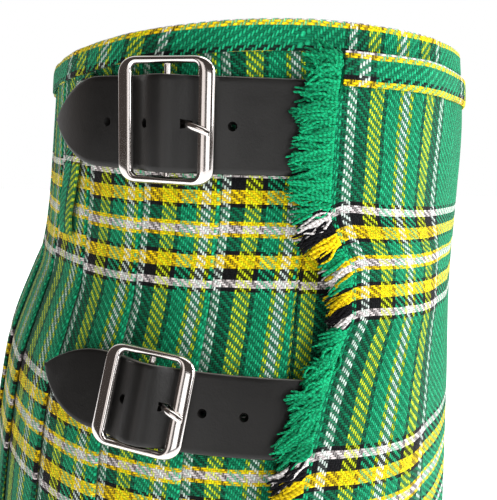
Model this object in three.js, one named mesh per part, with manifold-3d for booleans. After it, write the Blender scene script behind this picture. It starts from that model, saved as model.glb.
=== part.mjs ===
// A tartan kilt, as worn: a wrapped skirt of pleated wool with a waistband, an over apron with a
// fringed edge, three leather straps with centre-bar buckles, and two belt loops.
//
// Millimetres, +Z up. The front faces -Y and the wearer's right hip is at -X. The origin is in the
// middle of the waist opening, level with the top of the waistband at the hips.
//
// Every piece of cloth lies on one body form. A place on it is (s, z, rise): s runs round the body
// from the right hip, positive towards the front and negative towards the back, z is the height,
// and rise is the distance out from the form, whose surface the highest pleat edges touch.

import * as THREE from 'three';
import { mergeVertices } from 'three/addons/utils/BufferGeometryUtils.js';
import Module from 'manifold-3d';

// ---------- driving dimensions ----------

const FORM = [
  { z: 5, halfWidth: 151.5, frontDepth: 95, backDepth: 98.5 },
  { z: -35, halfWidth: 151, frontDepth: 101.2, backDepth: 102.2 },
  { z: -85, halfWidth: 150.5, frontDepth: 102.4, backDepth: 108 },
  { z: -145, halfWidth: 168, frontDepth: 100, backDepth: 129 },
  { z: -220, halfWidth: 177, frontDepth: 103, backDepth: 140 },
  { z: -400, halfWidth: 188, frontDepth: 116, backDepth: 152 },
  { z: -612, halfWidth: 201, frontDepth: 132, backDepth: 166 },
];
const FORM_POWER = 2.3;
const HEM = -610;
const WAIST_DIP = { front: 6, back: 14 };
const CLOTH = 1.0;
const SEAM_GAP = 0.3;

// The pleats: knife pleats whose folded edges all face the right hip. Each is three layers deep,
// and the layers open towards the hem.
const PLEAT_COUNT = 14;
const PLEAT_LAYER = 1.35;
const PLEAT_UNDERLAP = 0.62;
const FIRST_PLEAT = [
  { z: 5, s: -1, opening: 1 },
  { z: -56, s: 2, opening: 1 },
  { z: -98, s: -1.5, opening: 1 },
  { z: -110, s: -3, opening: 1.1 },
  { z: -155, s: -9, opening: 1.25 },
  { z: -300, s: -14, opening: 1.5 },
  { z: -612, s: -20, opening: 1.9 },
];
const LAST_PLEAT_PAST_HIP = 10;

// The over apron: its fringed edge at the right hip bows between the straps.
const APRON_EDGE = [
  { z: 5, s: 9, fringe: 12 },
  { z: -40, s: 7.5, fringe: 14 },
  { z: -62, s: 7.5, fringe: 14 },
  { z: -74, s: 12, fringe: 11 },
  { z: -86, s: 17, fringe: 10 },
  { z: -100, s: 17, fringe: 10 },
  { z: -114, s: 11.5, fringe: 12 },
  { z: -130, s: 5, fringe: 14 },
  { z: -158, s: -1.5, fringe: 14 },
  { z: -300, s: -8, fringe: 14 },
  { z: -612, s: -18, fringe: 14 },
];
const APRON_REST = 0.4;
const APRON_LIFT = {
  right: { height: 4.1, from: 30, to: 62, fadeTop: -160, fadeBottom: -230 },
  left: { height: 3.4, from: 26, to: 52, fadeTop: -60, fadeBottom: -100 },
};
const UNDER_APRON_SHORT_OF_HIP = 32;
const FRINGE_THICKNESS = 1.6;

// The waistband binds the top of the pleats and the under apron. The over apron has its own band.
const BAND = { depth: 10.3, rest: 0.3, inside: -4.9 };
const APRON_BAND = { top: 9.7, bottom: 20.8, start: 1.5 };
const APRON_TOP = BAND.depth + SEAM_GAP;

// Straps and buckles. Distances along a strap run from its buckle's centre bar: positive towards
// the fixed end under the apron, negative towards the pointed tip.
const LEATHER = 2.6;
const STRAP_REST = { fixed: 0.6, bar: 2.2, tip: 3.4 };
const STRAPS = [
  {
    name: 'upper', side: 1, behindHip: 45.9, z: -35.3, slope: 0, width: 32, fixed: 68, tip: 60.5,
    frame: { width: 36, height: 42.3, bar: 5.8 }, holes: [-24.1, -6.4, 21.8],
  },
  {
    name: 'lower', side: 1, behindHip: 53.7, z: -131.5, slope: -0.06, width: 27.4, fixed: 76, tip: 45.6,
    frame: { width: 34, height: 35.4, bar: 5.8 }, holes: [-6.6, 20.1, 33.9],
  },
  {
    name: 'left', side: -1, behindHip: 45.9, z: -35.3, slope: 0, width: 32, fixed: 68, tip: 60.5,
    frame: { width: 36, height: 42.3, bar: 5.8 }, holes: [-24.1, -6.4, 21.8],
  },
];
const HOLE_RADIUS = 1.6;
const PRONG_SLOT = { at: 7.8, length: 9, width: 4 };
const FRAME = { plane: 6.1, thickness: 2.6, corner: 7.5, centreBar: 1.3, centreBarPlane: 4, up: 1 };
const TAB = { thickness: 1.4, width: 0.72, sewnFrom: -11, slotAt: 0.6, slotLength: 9 };
const PRONG_RADIUS = 0.8;
const PRONG_DRIFT = 0.012;

const BELT_LOOP = {
  behindHip: 91, lean: 0.24, width: 12.5, bottom: -81, thickness: 1.2, rest: 0.5, stand: 1.2,
};

// ---------- the body form ----------

// A monotone cubic through one column of a table whose rows run down in z.
function column(rows, key) {
  const z = rows.map((row) => row.z);
  const value = rows.map((row) => row[key]);
  const slope = z.slice(1).map((_, i) => (value[i + 1] - value[i]) / (z[i + 1] - z[i]));
  const tangent = value.map((_, i) => {
    if (i === 0 || i === value.length - 1) return slope[Math.min(i, slope.length - 1)];
    const [before, after] = [slope[i - 1], slope[i]];
    return before * after <= 0 ? 0 : (2 * before * after) / (before + after);
  });
  return (height) => {
    let i = 0;
    while (i < z.length - 2 && height < z[i + 1]) i += 1;
    const span = z[i + 1] - z[i];
    const t = THREE.MathUtils.clamp((height - z[i]) / span, 0, 1);
    const [t2, t3] = [t * t, t * t * t];
    return (
      (2 * t3 - 3 * t2 + 1) * value[i] + (t3 - 2 * t2 + t) * span * tangent[i]
      + (3 * t2 - 2 * t3) * value[i + 1] + (t3 - t2) * span * tangent[i + 1]
    );
  };
}

const halfWidth = column(FORM, 'halfWidth');
const frontDepth = column(FORM, 'frontDepth');
const backDepth = column(FORM, 'backDepth');
const firstPleat = column(FIRST_PLEAT, 's');
const pleatOpening = column(FIRST_PLEAT, 'opening');
const apronEdge = column(APRON_EDGE, 's');
const fringeLength = column(APRON_EDGE, 'fringe');

const RING_STEPS = 360;
const rings = new Map();

// The form's outline at one height, as points a degree apart with the length run up to each.
function ring(z) {
  const key = z.toFixed(2);
  if (rings.has(key)) return rings.get(key);
  const points = [];
  const run = [0];
  for (let i = 0; i <= RING_STEPS; i += 1) {
    const angle = (2 * Math.PI * i) / RING_STEPS;
    const [c, s] = [Math.cos(angle), Math.sin(angle)];
    const depth = s > 0 ? frontDepth(z) : backDepth(z);
    points.push(new THREE.Vector2(
      -halfWidth(z) * Math.sign(c) * Math.abs(c) ** (2 / FORM_POWER),
      -depth * Math.sign(s) * Math.abs(s) ** (2 / FORM_POWER),
    ));
    if (i > 0) run.push(run[i - 1] + points[i].distanceTo(points[i - 1]));
  }
  rings.set(key, { points, run, perimeter: run[RING_STEPS] });
  return rings.get(key);
}

const perimeter = (z) => ring(z).perimeter;

// A point on the ring at a length round it from the right hip.
function ringPoint(z, s) {
  const { points, run, perimeter: whole } = ring(z);
  const along = ((s % whole) + whole) % whole;
  let [low, high] = [0, RING_STEPS];
  while (high - low > 1) {
    const middle = (low + high) >> 1;
    if (run[middle] <= along) low = middle;
    else high = middle;
  }
  const t = (along - run[low]) / (run[high] - run[low]);
  return points[low].clone().lerp(points[high], t);
}

const NORMAL_REACH = 4;

function place(s, z, rise) {
  const onForm = (height, along) => {
    const point = ringPoint(height, (along * perimeter(height)) / perimeter(z));
    return new THREE.Vector3(point.x, point.y, height);
  };
  const around = onForm(z, s + NORMAL_REACH).sub(onForm(z, s - NORMAL_REACH));
  const up = onForm(z + NORMAL_REACH, s).sub(onForm(z - NORMAL_REACH, s));
  const out = around.cross(up).normalize();
  return onForm(z, s).addScaledVector(out, rise);
}

// The top edge of the waistband dips at the middle of the front and of the back.
function waistTop(s) {
  const around = Math.sin((2 * Math.PI * s) / perimeter(0));
  const dip = around > 0 ? WAIST_DIP.front : WAIST_DIP.back;
  return -dip * Math.abs(around) ** 1.5;
}

// ---------- making solids ----------

const steps = (count, from = 0, to = 1) => (
  Array.from({ length: count + 1 }, (_, i) => from + ((to - from) * i) / count)
);
const smooth = (t) => THREE.MathUtils.smoothstep(t, 0, 1);

function toGeometry(points, triangles) {
  const geometry = new THREE.BufferGeometry();
  geometry.setAttribute('position', new THREE.Float32BufferAttribute(points.flatMap((p) => [p.x, p.y, p.z]), 3));
  let volume = 0;
  for (const [a, b, c] of triangles) volume += points[a].dot(points[b].clone().cross(points[c]));
  geometry.setIndex((volume < 0 ? triangles.map(([a, b, c]) => [a, c, b]) : triangles).flat());
  return geometry;
}

// A wall between two grids of points of the same size, rows by columns.
function wall(outer, inner, closed = false) {
  const rows = outer.length;
  const columns = outer[0].length;
  const points = [...outer.flat(), ...inner.flat()];
  const at = (side, row, col) => side * rows * columns + row * columns + (col % columns);
  const triangles = [];
  const quad = (a, b, c, d) => triangles.push([a, b, c], [a, c, d]);
  const lastColumn = closed ? columns : columns - 1;
  for (let r = 0; r < rows - 1; r += 1) {
    for (let c = 0; c < lastColumn; c += 1) {
      quad(at(0, r, c), at(0, r, c + 1), at(0, r + 1, c + 1), at(0, r + 1, c));
      quad(at(1, r, c), at(1, r + 1, c), at(1, r + 1, c + 1), at(1, r, c + 1));
    }
    if (!closed) {
      quad(at(0, r, 0), at(0, r + 1, 0), at(1, r + 1, 0), at(1, r, 0));
      const end = columns - 1;
      quad(at(0, r, end), at(1, r, end), at(1, r + 1, end), at(0, r + 1, end));
    }
  }
  for (let c = 0; c < lastColumn; c += 1) {
    quad(at(0, 0, c), at(1, 0, c), at(1, 0, c + 1), at(0, 0, c + 1));
    const end = rows - 1;
    quad(at(0, end, c), at(0, end, c + 1), at(1, end, c + 1), at(1, end, c));
  }
  return toGeometry(points, triangles);
}

// A solid through closed sections of the same point count; the run of sections may close too.
function loft(sections, closed) {
  const count = sections[0].length;
  const points = sections.flat();
  const triangles = [];
  const spans = closed ? sections.length : sections.length - 1;
  for (let i = 0; i < spans; i += 1) {
    for (let j = 0; j < count; j += 1) {
      const next = ((i + 1) % sections.length) * count;
      const [a, b] = [i * count + j, i * count + ((j + 1) % count)];
      const [c, d] = [next + ((j + 1) % count), next + j];
      triangles.push([a, b, c], [a, c, d]);
    }
  }
  if (!closed) {
    const last = (sections.length - 1) * count;
    for (let j = 1; j < count - 1; j += 1) {
      triangles.push([0, j + 1, j], [last, last + j, last + j + 1]);
    }
  }
  return toGeometry(points, triangles);
}

// The two sides of a ribbon along a flat path of (along, height) points.
function ribbonSides(path, thickness) {
  return path.map((point, i) => {
    const before = path[Math.max(i - 1, 0)];
    const after = path[Math.min(i + 1, path.length - 1)];
    const way = after.clone().sub(before).normalize();
    const across = new THREE.Vector2(-way.y, way.x).multiplyScalar(thickness / 2);
    return [point.clone().add(across), point.clone().sub(across)];
  });
}

// The same piece on the other side of the body.
function mirrored(geometry) {
  const copy = geometry.clone().scale(-1, 1, 1);
  const index = Array.from(copy.index.array);
  for (let i = 0; i < index.length; i += 3) [index[i], index[i + 1]] = [index[i + 1], index[i]];
  copy.setIndex(index);
  return copy;
}

const wasm = await Module();
wasm.setup();

function toManifold(geometry) {
  const plain = geometry.clone();
  plain.deleteAttribute('normal');
  plain.deleteAttribute('uv');
  const merged = mergeVertices(plain, 1e-4);
  return new wasm.Manifold(new wasm.Mesh({
    numProp: 3,
    vertProperties: new Float32Array(merged.attributes.position.array),
    triVerts: new Uint32Array(merged.index.array),
  }));
}

function fromManifold(solid) {
  const { vertProperties, triVerts, numProp } = solid.getMesh();
  const geometry = new THREE.BufferGeometry();
  geometry.setAttribute('position', new THREE.Float32BufferAttribute(Array.from(vertProperties), numProp));
  geometry.setIndex(Array.from(triVerts));
  return geometry;
}

const cut = (geometry, tools) => fromManifold(
  tools.reduce((solid, tool) => solid.subtract(toManifold(tool)), toManifold(geometry)),
);
const join = (a, b) => fromManifold(toManifold(a).add(toManifold(b)));

// ---------- materials ----------

const material = (color, roughness, metalness = 0) => (
  new THREE.MeshStandardMaterial({ color, roughness, metalness })
);
const WOOL = material(0x3daa6f, 0.9);
const WOOL_SHADED = material(0x265c4a, 0.9);
const YARN = material(0x2a9a6e, 0.95);
const BLACK_LEATHER = material(0x34332f, 0.4);
const CHROME = material(0xd8d8dc, 0.12, 1);

const kilt = new THREE.Group();
kilt.name = 'kilt';

function add(name, geometry, finish) {
  const mesh = new THREE.Mesh(geometry, finish);
  mesh.name = name;
  kilt.add(mesh);
}

// ---------- cloth ----------

const BODY_ROWS = [-60, -92, -118, -150, -220, -320, -420, -515, HEM];
const APRON_ROWS = [-40, -62, -74, -86, -100, -114, -130, -144, -160, -230, -350, -480, HEM];

// How far the over apron stands off the form: near its two edges the straps under it lift it.
function apronRise(s, z) {
  const lift = ({ height, from, to, fadeTop, fadeBottom }, fromEdge) => {
    const near = 1 - smooth((fromEdge - from) / (to - from));
    return height * near * smooth((z - fadeBottom) / (fadeTop - fadeBottom));
  };
  const right = lift(APRON_LIFT.right, s - apronEdge(z));
  const left = lift(APRON_LIFT.left, perimeter(z) / 2 - s);
  return APRON_REST + Math.max(right, left);
}

// A panel of one layer: s runs from start(z) to end(z), in even columns; rows run down.
function panel({ start, end, top, rows, columns, rise, thickness }) {
  const grid = (extra) => [null, ...rows].map((row) => steps(columns).map((t) => {
    const sAt = (z) => THREE.MathUtils.lerp(start(z), end(z), t);
    const z = row ?? top(sAt(0));
    return place(sAt(z), z, rise(sAt(z), z) + extra);
  }));
  return wall(grid(thickness), grid(0));
}

function overApron() {
  return panel({
    start: apronEdge,
    end: (z) => perimeter(z) / 2,
    top: (s) => waistTop(s) - APRON_TOP,
    rows: APRON_ROWS,
    columns: 34,
    rise: apronRise,
    thickness: CLOTH,
  });
}

const UNDER_RISE = -CLOTH - 2 * PLEAT_LAYER;
const PLEAT_TOP = 1.6;
const PLEAT_START = 2;

function underApron() {
  return panel({
    start: (z) => firstPleat(z) + PLEAT_START + SEAM_GAP,
    end: (z) => perimeter(z) / 2 - UNDER_APRON_SHORT_OF_HIP,
    top: (s) => waistTop(s) - PLEAT_TOP,
    rows: BODY_ROWS,
    columns: 32,
    rise: (s, z) => -CLOTH / 2 + (UNDER_RISE + CLOTH / 2) * pleatOpening(z),
    thickness: CLOTH,
  });
}

// The folded edge of pleat k at height z; pleat 0 is at the right hip.
function pleatEdge(k, z) {
  const last = -perimeter(z) / 2 - LAST_PLEAT_PAST_HIP;
  return THREE.MathUtils.lerp(firstPleat(z), last, k / PLEAT_COUNT);
}

// The path of the cloth through every pleat at height z, as (s, rise of the middle of the cloth).
function pleatPath(z) {
  const top = -CLOTH / 2;
  const opening = pleatOpening(z);
  const layer = (n) => top - n * PLEAT_LAYER * opening;
  const path = [new THREE.Vector2(pleatEdge(0, z) + PLEAT_START, layer(2))];
  for (let k = 0; k < PLEAT_COUNT; k += 1) {
    const edge = pleatEdge(k, z);
    const next = pleatEdge(k + 1, z);
    const width = edge - next;
    const turn = edge - PLEAT_UNDERLAP * width;
    const bend = 1.0;
    path.push(
      new THREE.Vector2(turn + bend, layer(2)),
      new THREE.Vector2(turn, layer(1.5)),
      new THREE.Vector2(turn + bend, layer(1)),
      new THREE.Vector2(edge - bend, layer(1)),
      new THREE.Vector2(edge, layer(0.5)),
      new THREE.Vector2(edge - bend, layer(0)),
      new THREE.Vector2(edge - 0.55 * width, layer(0.95)),
      new THREE.Vector2(next + 1.5, layer(2)),
    );
  }
  return path;
}

function pleatedBack() {
  const rows = [null, ...BODY_ROWS].map((row) => {
    const sides = ribbonSides(pleatPath(row ?? 0), CLOTH);
    return sides.map((pair) => pair.map((p) => place(p.x, row ?? waistTop(p.x) - PLEAT_TOP, p.y)));
  });
  return wall(rows.map((row) => row.map((pair) => pair[0])), rows.map((row) => row.map((pair) => pair[1])));
}

function waistband() {
  const count = 84;
  const outside = [[BAND.rest + CLOTH, -BAND.depth], [BAND.rest + CLOTH, -1], [BAND.rest - 0.6, 0],
    [BAND.inside + 0.6 - CLOTH, 0], [BAND.inside - CLOTH, -1], [BAND.inside - CLOTH, -BAND.depth]];
  const inside = [[BAND.rest, -BAND.depth], [BAND.rest, -1.3], [BAND.rest - 0.7, -1.15],
    [BAND.inside + 0.7, -1.15], [BAND.inside, -1.3], [BAND.inside, -BAND.depth]];
  const grid = (section) => section.map(([rise, drop]) => steps(count).slice(0, count).map((t) => {
    const s = t * perimeter(0);
    return place(s, waistTop(s) + drop, rise);
  }));
  return wall(grid(outside), grid(inside), true);
}

function apronBand() {
  const rise = CLOTH + SEAM_GAP;
  const grid = (extra) => [APRON_BAND.top, APRON_BAND.bottom].map((drop) => steps(34).map((t) => {
    const s = THREE.MathUtils.lerp(apronEdge(0) + APRON_BAND.start, perimeter(0) / 2, t);
    const z = waistTop(s) - drop;
    return place(s, z, apronRise(s, z) + rise + extra);
  }));
  return wall(grid(CLOTH), grid(0));
}

function fringe() {
  const grid = (extra) => [-APRON_TOP, ...APRON_ROWS].map((z) => [0, 0.5, 1].map((t) => {
    const root = apronEdge(z) - SEAM_GAP;
    return place(root - t * fringeLength(z), z, apronRise(root, z) + extra);
  }));
  return wall(grid(FRINGE_THICKNESS), grid(0));
}

function beltLoop() {
  const half = BELT_LOOP.width / 2;
  const grid = (extra) => steps(6).map((v) => steps(2, -half, half).map((across) => {
    const top = waistTop(across - BELT_LOOP.behindHip) - BAND.depth - SEAM_GAP;
    const z = THREE.MathUtils.lerp(top, BELT_LOOP.bottom, v);
    const s = across - BELT_LOOP.behindHip + BELT_LOOP.lean * (z - top);
    const stand = BELT_LOOP.stand * Math.min(1, 3 * Math.sin(Math.PI * v));
    return place(s, z, BELT_LOOP.rest + stand + extra);
  }));
  return wall(grid(BELT_LOOP.thickness), grid(0));
}

add('pleated_back', pleatedBack(), WOOL_SHADED);
add('under_apron', underApron(), WOOL_SHADED);
add('over_apron', overApron(), WOOL);
add('waistband', waistband(), WOOL);
add('apron_band', apronBand(), WOOL);
add('apron_fringe', fringe(), YARN);
add('belt_loop_right', beltLoop(), WOOL);
add('belt_loop_left', mirrored(beltLoop()), WOOL);

// ---------- straps and buckles ----------

// The strap passes under the frame's outer bars and over its centre bar.
const STRAP_PEAK = FRAME.centreBarPlane + FRAME.centreBar + TAB.thickness + 3 * SEAM_GAP;

function strapRise(strap, along) {
  const bar = (strap.frame.width - strap.frame.bar) / 2 - 1.6;
  if (Math.abs(along) < bar) {
    const lift = 0.5 * (1 + Math.cos((Math.PI * along) / bar));
    return STRAP_REST.bar + (STRAP_PEAK - STRAP_REST.bar) * lift;
  }
  const rest = along > 0 ? STRAP_REST.fixed : STRAP_REST.tip;
  return THREE.MathUtils.lerp(STRAP_REST.bar, rest, smooth((Math.abs(along) - bar) / 22));
}

// Half the strap's width: it narrows to a rounded point over the last part.
function strapHalfWidth(strap, along) {
  const t = THREE.MathUtils.clamp((along + strap.tip) / strap.width, 0, 1);
  return (strap.width / 2) * Math.sin((Math.PI / 2) * t) ** 0.8;
}

// The strap's own directions at a place along it: x to its fixed end, y up across it, z outwards.
function strapFrame(strap, along) {
  const onForm = (distance, up = 0) => (
    place(distance - strap.behindHip, strap.z + strap.slope * distance + up, 0)
  );
  const x = onForm(along + NORMAL_REACH).sub(onForm(along - NORMAL_REACH)).normalize();
  const out = x.clone().cross(onForm(along, NORMAL_REACH).sub(onForm(along, -NORMAL_REACH))).normalize();
  return new THREE.Matrix4().makeBasis(x, out.clone().cross(x), out).setPosition(onForm(along));
}

// Leather is stiff across its width, so it lies straight on the form's slope at its middle line.
const strapPlace = (strap, along, up, rise) => (
  new THREE.Vector3(0, up, rise).applyMatrix4(strapFrame(strap, along))
);

function strapBody(strap) {
  const stations = [
    ...[0.15, 1.2, 3.5, 7, 12, 19, 27].map((reach) => reach - strap.tip),
    ...steps(12, -18, 18).filter((along) => along > 30 - strap.tip),
    30, 48, strap.fixed,
  ];
  const grid = (extra) => [-1, -0.5, 0, 0.5, 1].map((side) => stations.map((along) => (
    strapPlace(strap, along, side * strapHalfWidth(strap, along), strapRise(strap, along) + extra)
  )));
  return wall(grid(LEATHER), grid(0));
}

function frameGeometry(strap) {
  const { width, height, bar } = strap.frame;
  const halfX = (width - bar) / 2;
  const halfY = (height - FRAME.thickness) / 2;
  const corner = FRAME.corner - bar / 2;
  const sections = [];
  for (const [sx, sy, first] of [[1, 1, 0], [-1, 1, 1], [-1, -1, 2], [1, -1, 3]]) {
    for (const t of steps(4)) {
      const angle = (first + t) * (Math.PI / 2);
      const way = new THREE.Vector2(Math.cos(angle), Math.sin(angle));
      const centre = new THREE.Vector2(
        sx * (halfX - corner) + corner * way.x, sy * (halfY - corner) + corner * way.y,
      );
      const half = THREE.MathUtils.lerp(FRAME.thickness / 2, bar / 2, way.x ** 2);
      const profile = [[-1, -0.5], [-0.55, -1], [0.55, -1], [1, -0.5], [1, 0.15], [0.45, 1], [-0.45, 1],
        [-1, 0.15]];
      sections.push(profile.map(([outwards, rise]) => new THREE.Vector3(
        centre.x + way.x * half * outwards,
        centre.y + way.y * half * outwards,
        FRAME.plane + (rise * FRAME.thickness) / 2,
      )));
    }
  }
  const barSections = [-1, 1].map((end) => steps(7, 0, 7 / 8).map((turn) => new THREE.Vector3(
    FRAME.centreBar * Math.cos(2 * Math.PI * turn),
    end * (halfY + 0.2),
    FRAME.centreBarPlane + FRAME.centreBar * Math.sin(2 * Math.PI * turn),
  )));
  return join(loft(sections, true), loft(barSections, false));
}

// The prong: a ring round the centre bar, then a shank through the strap's hole onto the far bar.
function prongGeometry(strap) {
  const ringRadius = FRAME.centreBar + SEAM_GAP + PRONG_RADIUS;
  const restHeight = FRAME.plane + FRAME.thickness / 2 + SEAM_GAP + PRONG_RADIUS;
  const reach = (strap.frame.width - strap.frame.bar) / 2;
  const path = steps(8, -5, -305).map((degrees) => {
    const angle = THREE.MathUtils.degToRad(degrees);
    return new THREE.Vector2(ringRadius * Math.cos(angle), FRAME.centreBarPlane + ringRadius * Math.sin(angle));
  });
  path.shift();
  const ringPath = path.reverse();
  const full = [
    ...ringPath,
    new THREE.Vector2(ringRadius + 0.9, FRAME.centreBarPlane + 0.3),
    new THREE.Vector2(5.6, 5),
    new THREE.Vector2(8.4, 6.9),
    new THREE.Vector2(10.8, restHeight - 0.15),
    new THREE.Vector2(reach - 1, restHeight),
    new THREE.Vector2(reach + 2.2, restHeight - 0.25),
  ];
  const sections = full.map((point, i) => {
    const before = full[Math.max(i - 1, 0)];
    const after = full[Math.min(i + 1, full.length - 1)];
    const way = after.clone().sub(before).normalize();
    return steps(6, 0, 6 / 7).map((turn) => {
      const across = PRONG_RADIUS * Math.cos(2 * Math.PI * turn);
      const aside = PRONG_RADIUS * Math.sin(2 * Math.PI * turn);
      return new THREE.Vector3(
        point.x - way.y * across, aside - PRONG_DRIFT * Math.max(0, point.x) ** 2, point.y + way.x * across,
      );
    });
  });
  return loft(sections, false);
}

// The leather tab that holds the centre bar: it is sewn to the pleats behind the bar, and slotted
// for the prong. Round the bar it is square to the buckle, and where it is sewn it lies on the cloth.
function tabGeometry(strap, matrix) {
  const half = (TAB.width * strap.width) / 2;
  const radius = FRAME.centreBar + SEAM_GAP + TAB.thickness / 2;
  const low = 0.5 + TAB.thickness / 2;
  const path = [
    [-24, low], [-12, low], [-3.2, low + 0.1],
    ...steps(6, -80, 95).map((degrees) => {
      const angle = THREE.MathUtils.degToRad(degrees);
      return [radius * Math.cos(angle), FRAME.centreBarPlane + radius * Math.sin(angle)];
    }),
    [-3.6, 5], [-7.4, 2.75],
  ].map(([along, rise]) => new THREE.Vector2(along, rise));
  const sides = ribbonSides(path, TAB.thickness);
  const onTab = ({ x, y }, up) => (
    x < TAB.sewnFrom
      ? strapPlace(strap, x, up + FRAME.up, y)
      : new THREE.Vector3(x, up, y).applyMatrix4(matrix)
  );
  const grid = (side) => [-half, half].map((up) => sides.map((pair) => onTab(pair[side], up)));
  return wall(grid(0), grid(1));
}

const hole = (radius, height) => new THREE.CylinderGeometry(radius, radius, height, 12);

// A cutter standing on the strap at a place along it, as a slot when it has a length.
function cutter(strap, along, radius, length = 0) {
  const depth = 30;
  const shape = length > 0 ? new THREE.BoxGeometry(length, depth, 2 * radius) : hole(radius, depth);
  return shape.rotateX(Math.PI / 2).applyMatrix4(strapFrame(strap, along));
}

function strapSet(strap) {
  const matrix = strapFrame(strap, 0).multiply(new THREE.Matrix4().makeTranslation(0, FRAME.up, 0));
  const prongSlot = cutter(strap, PRONG_SLOT.at, PRONG_SLOT.width / 2, PRONG_SLOT.length);
  const tabSlot = cutter(strap, TAB.slotAt, PRONG_SLOT.width / 2, TAB.slotLength);
  const holes = strap.holes.map((along) => cutter(strap, along, HOLE_RADIUS));
  const onSide = (geometry) => (strap.side > 0 ? geometry : mirrored(geometry));
  add(`strap_${strap.name}`, onSide(cut(strapBody(strap), [...holes, prongSlot])), BLACK_LEATHER);
  add(`buckle_tab_${strap.name}`, onSide(cut(tabGeometry(strap, matrix), [tabSlot])), BLACK_LEATHER);
  add(`buckle_frame_${strap.name}`, onSide(frameGeometry(strap).applyMatrix4(matrix)), CHROME);
  add(`buckle_prong_${strap.name}`, onSide(prongGeometry(strap).applyMatrix4(matrix)), CHROME);
}

STRAPS.forEach(strapSet);

export default kilt;
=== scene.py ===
import math

import bmesh
import bpy
import numpy as np
from mathutils import Matrix, Vector


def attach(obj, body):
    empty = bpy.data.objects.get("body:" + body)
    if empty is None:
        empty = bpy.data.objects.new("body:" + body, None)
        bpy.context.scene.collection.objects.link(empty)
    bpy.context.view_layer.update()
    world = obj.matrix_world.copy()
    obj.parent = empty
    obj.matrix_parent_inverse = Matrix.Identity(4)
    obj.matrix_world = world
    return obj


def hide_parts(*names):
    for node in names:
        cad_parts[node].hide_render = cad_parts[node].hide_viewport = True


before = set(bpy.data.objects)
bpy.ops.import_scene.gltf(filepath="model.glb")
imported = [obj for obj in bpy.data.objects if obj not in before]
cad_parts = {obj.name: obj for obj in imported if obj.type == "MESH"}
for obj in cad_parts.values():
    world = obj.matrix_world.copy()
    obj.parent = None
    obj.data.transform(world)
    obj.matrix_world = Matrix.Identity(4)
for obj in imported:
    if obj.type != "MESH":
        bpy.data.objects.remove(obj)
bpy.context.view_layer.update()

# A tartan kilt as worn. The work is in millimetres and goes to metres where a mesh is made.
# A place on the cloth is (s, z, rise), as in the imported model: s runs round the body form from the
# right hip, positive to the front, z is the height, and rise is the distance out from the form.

MM = 0.001
dice = np.random.default_rng(7)

# ---------- the body form ----------

# height, half width, front depth, back depth
FORM = np.array([
    (5, 151.5, 95, 98.5), (-35, 151, 101.2, 102.2), (-85, 150.5, 102.4, 108),
    (-145, 168, 100, 129), (-220, 177, 103, 140), (-400, 188, 116, 152), (-612, 201, 132, 166),
], dtype=float)
FORM_POWER = 2.3
HEM = -610.0
# The rows of points on the cloth lie closer together above this height.
FINE_ABOVE = -190
WAIST_DIP_FRONT = 6.0
WAIST_DIP_BACK = 14.0
CLOTH = 1.0
SEAM_GAP = 0.3

PLEAT_COUNT = 14
PLEAT_LAYER = 0.95
PLEAT_CLOTH = 0.75
PLEAT_UNDERLAP = 0.62
LAST_PLEAT_PAST_HIP = 10.0
# height, place of the first folded edge, opening of the layers
FIRST_PLEAT = np.array([
    (5, -1, 1), (-56, 2, 1), (-98, -1.5, 1), (-110, -3, 1.1), (-155, -9, 1.25),
    (-300, -14, 1.5), (-612, -20, 1.9),
], dtype=float)
# height, place of the fringed edge, length of the fringe
APRON_EDGE = np.array([
    (5, 9, 12), (-40, 7.5, 14), (-62, 7.5, 14), (-74, 12, 11), (-86, 17, 10), (-100, 17, 10),
    (-114, 11.5, 12), (-130, 5, 14), (-158, -1.5, 14), (-300, -8, 14), (-612, -18, 14),
], dtype=float)
APRON_REST = 0.4
UNDER_APRON_SHORT_OF_HIP = 32.0
BAND_DEPTH = 10.3
BAND_REST = 0.3
BAND_INSIDE = -4.9
APRON_BAND_TOP = 9.7
APRON_BAND_START = 1.5
PLEAT_TOP = 1.6
PLEAT_START = 2.0

# The sett: one colour letter and its thread count, the same in the warp and the weft.
SETT = (("K", 2), ("W", 4), ("K", 6), ("Y", 7), ("K", 2), ("G", 7), ("Y", 2), ("W", 4), ("Y", 2),
        ("G", 7), ("K", 2), ("Y", 7), ("K", 6), ("W", 4), ("K", 2), ("G", 56))
SETT_THREADS = 120
PITCH = 0.70
WARP_PITCH = 0.84
SETT_CENTRE = 32
PLEAT_CENTRE_ROW = -71.3
APRON_CENTRE_ROW = -80.9


def smooth(t):
    """Eased step from 0 to 1."""
    t = np.clip(t, 0, 1)
    return t * t * (3 - 2 * t)


def column(rows, index):
    """A monotone cubic through one column of a table whose rows run down in z."""
    z = rows[:, 0]
    value = rows[:, index]
    slope = np.diff(value) / np.diff(z)
    tangent = np.empty(len(z))
    tangent[0] = slope[0]
    tangent[-1] = slope[-1]
    for i in range(1, len(z) - 1):
        before, after = slope[i - 1], slope[i]
        tangent[i] = 0 if before * after <= 0 else 2 * before * after / (before + after)

    def at(height):
        height = np.asarray(height, dtype=float)
        i = np.clip(np.searchsorted(-z, -height, side="right") - 1, 0, len(z) - 2)
        span = z[i + 1] - z[i]
        t = np.clip((height - z[i]) / span, 0, 1)
        t2, t3 = t * t, t * t * t
        return ((2 * t3 - 3 * t2 + 1) * value[i] + (t3 - 2 * t2 + t) * span * tangent[i]
                + (3 * t2 - 2 * t3) * value[i + 1] + (t3 - t2) * span * tangent[i + 1])
    return at


half_width = column(FORM, 1)
front_depth = column(FORM, 2)
back_depth = column(FORM, 3)
first_pleat = column(FIRST_PLEAT, 1)
pleat_opening = column(FIRST_PLEAT, 2)
apron_edge = column(APRON_EDGE, 1)
fringe_length = column(APRON_EDGE, 2)

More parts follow.
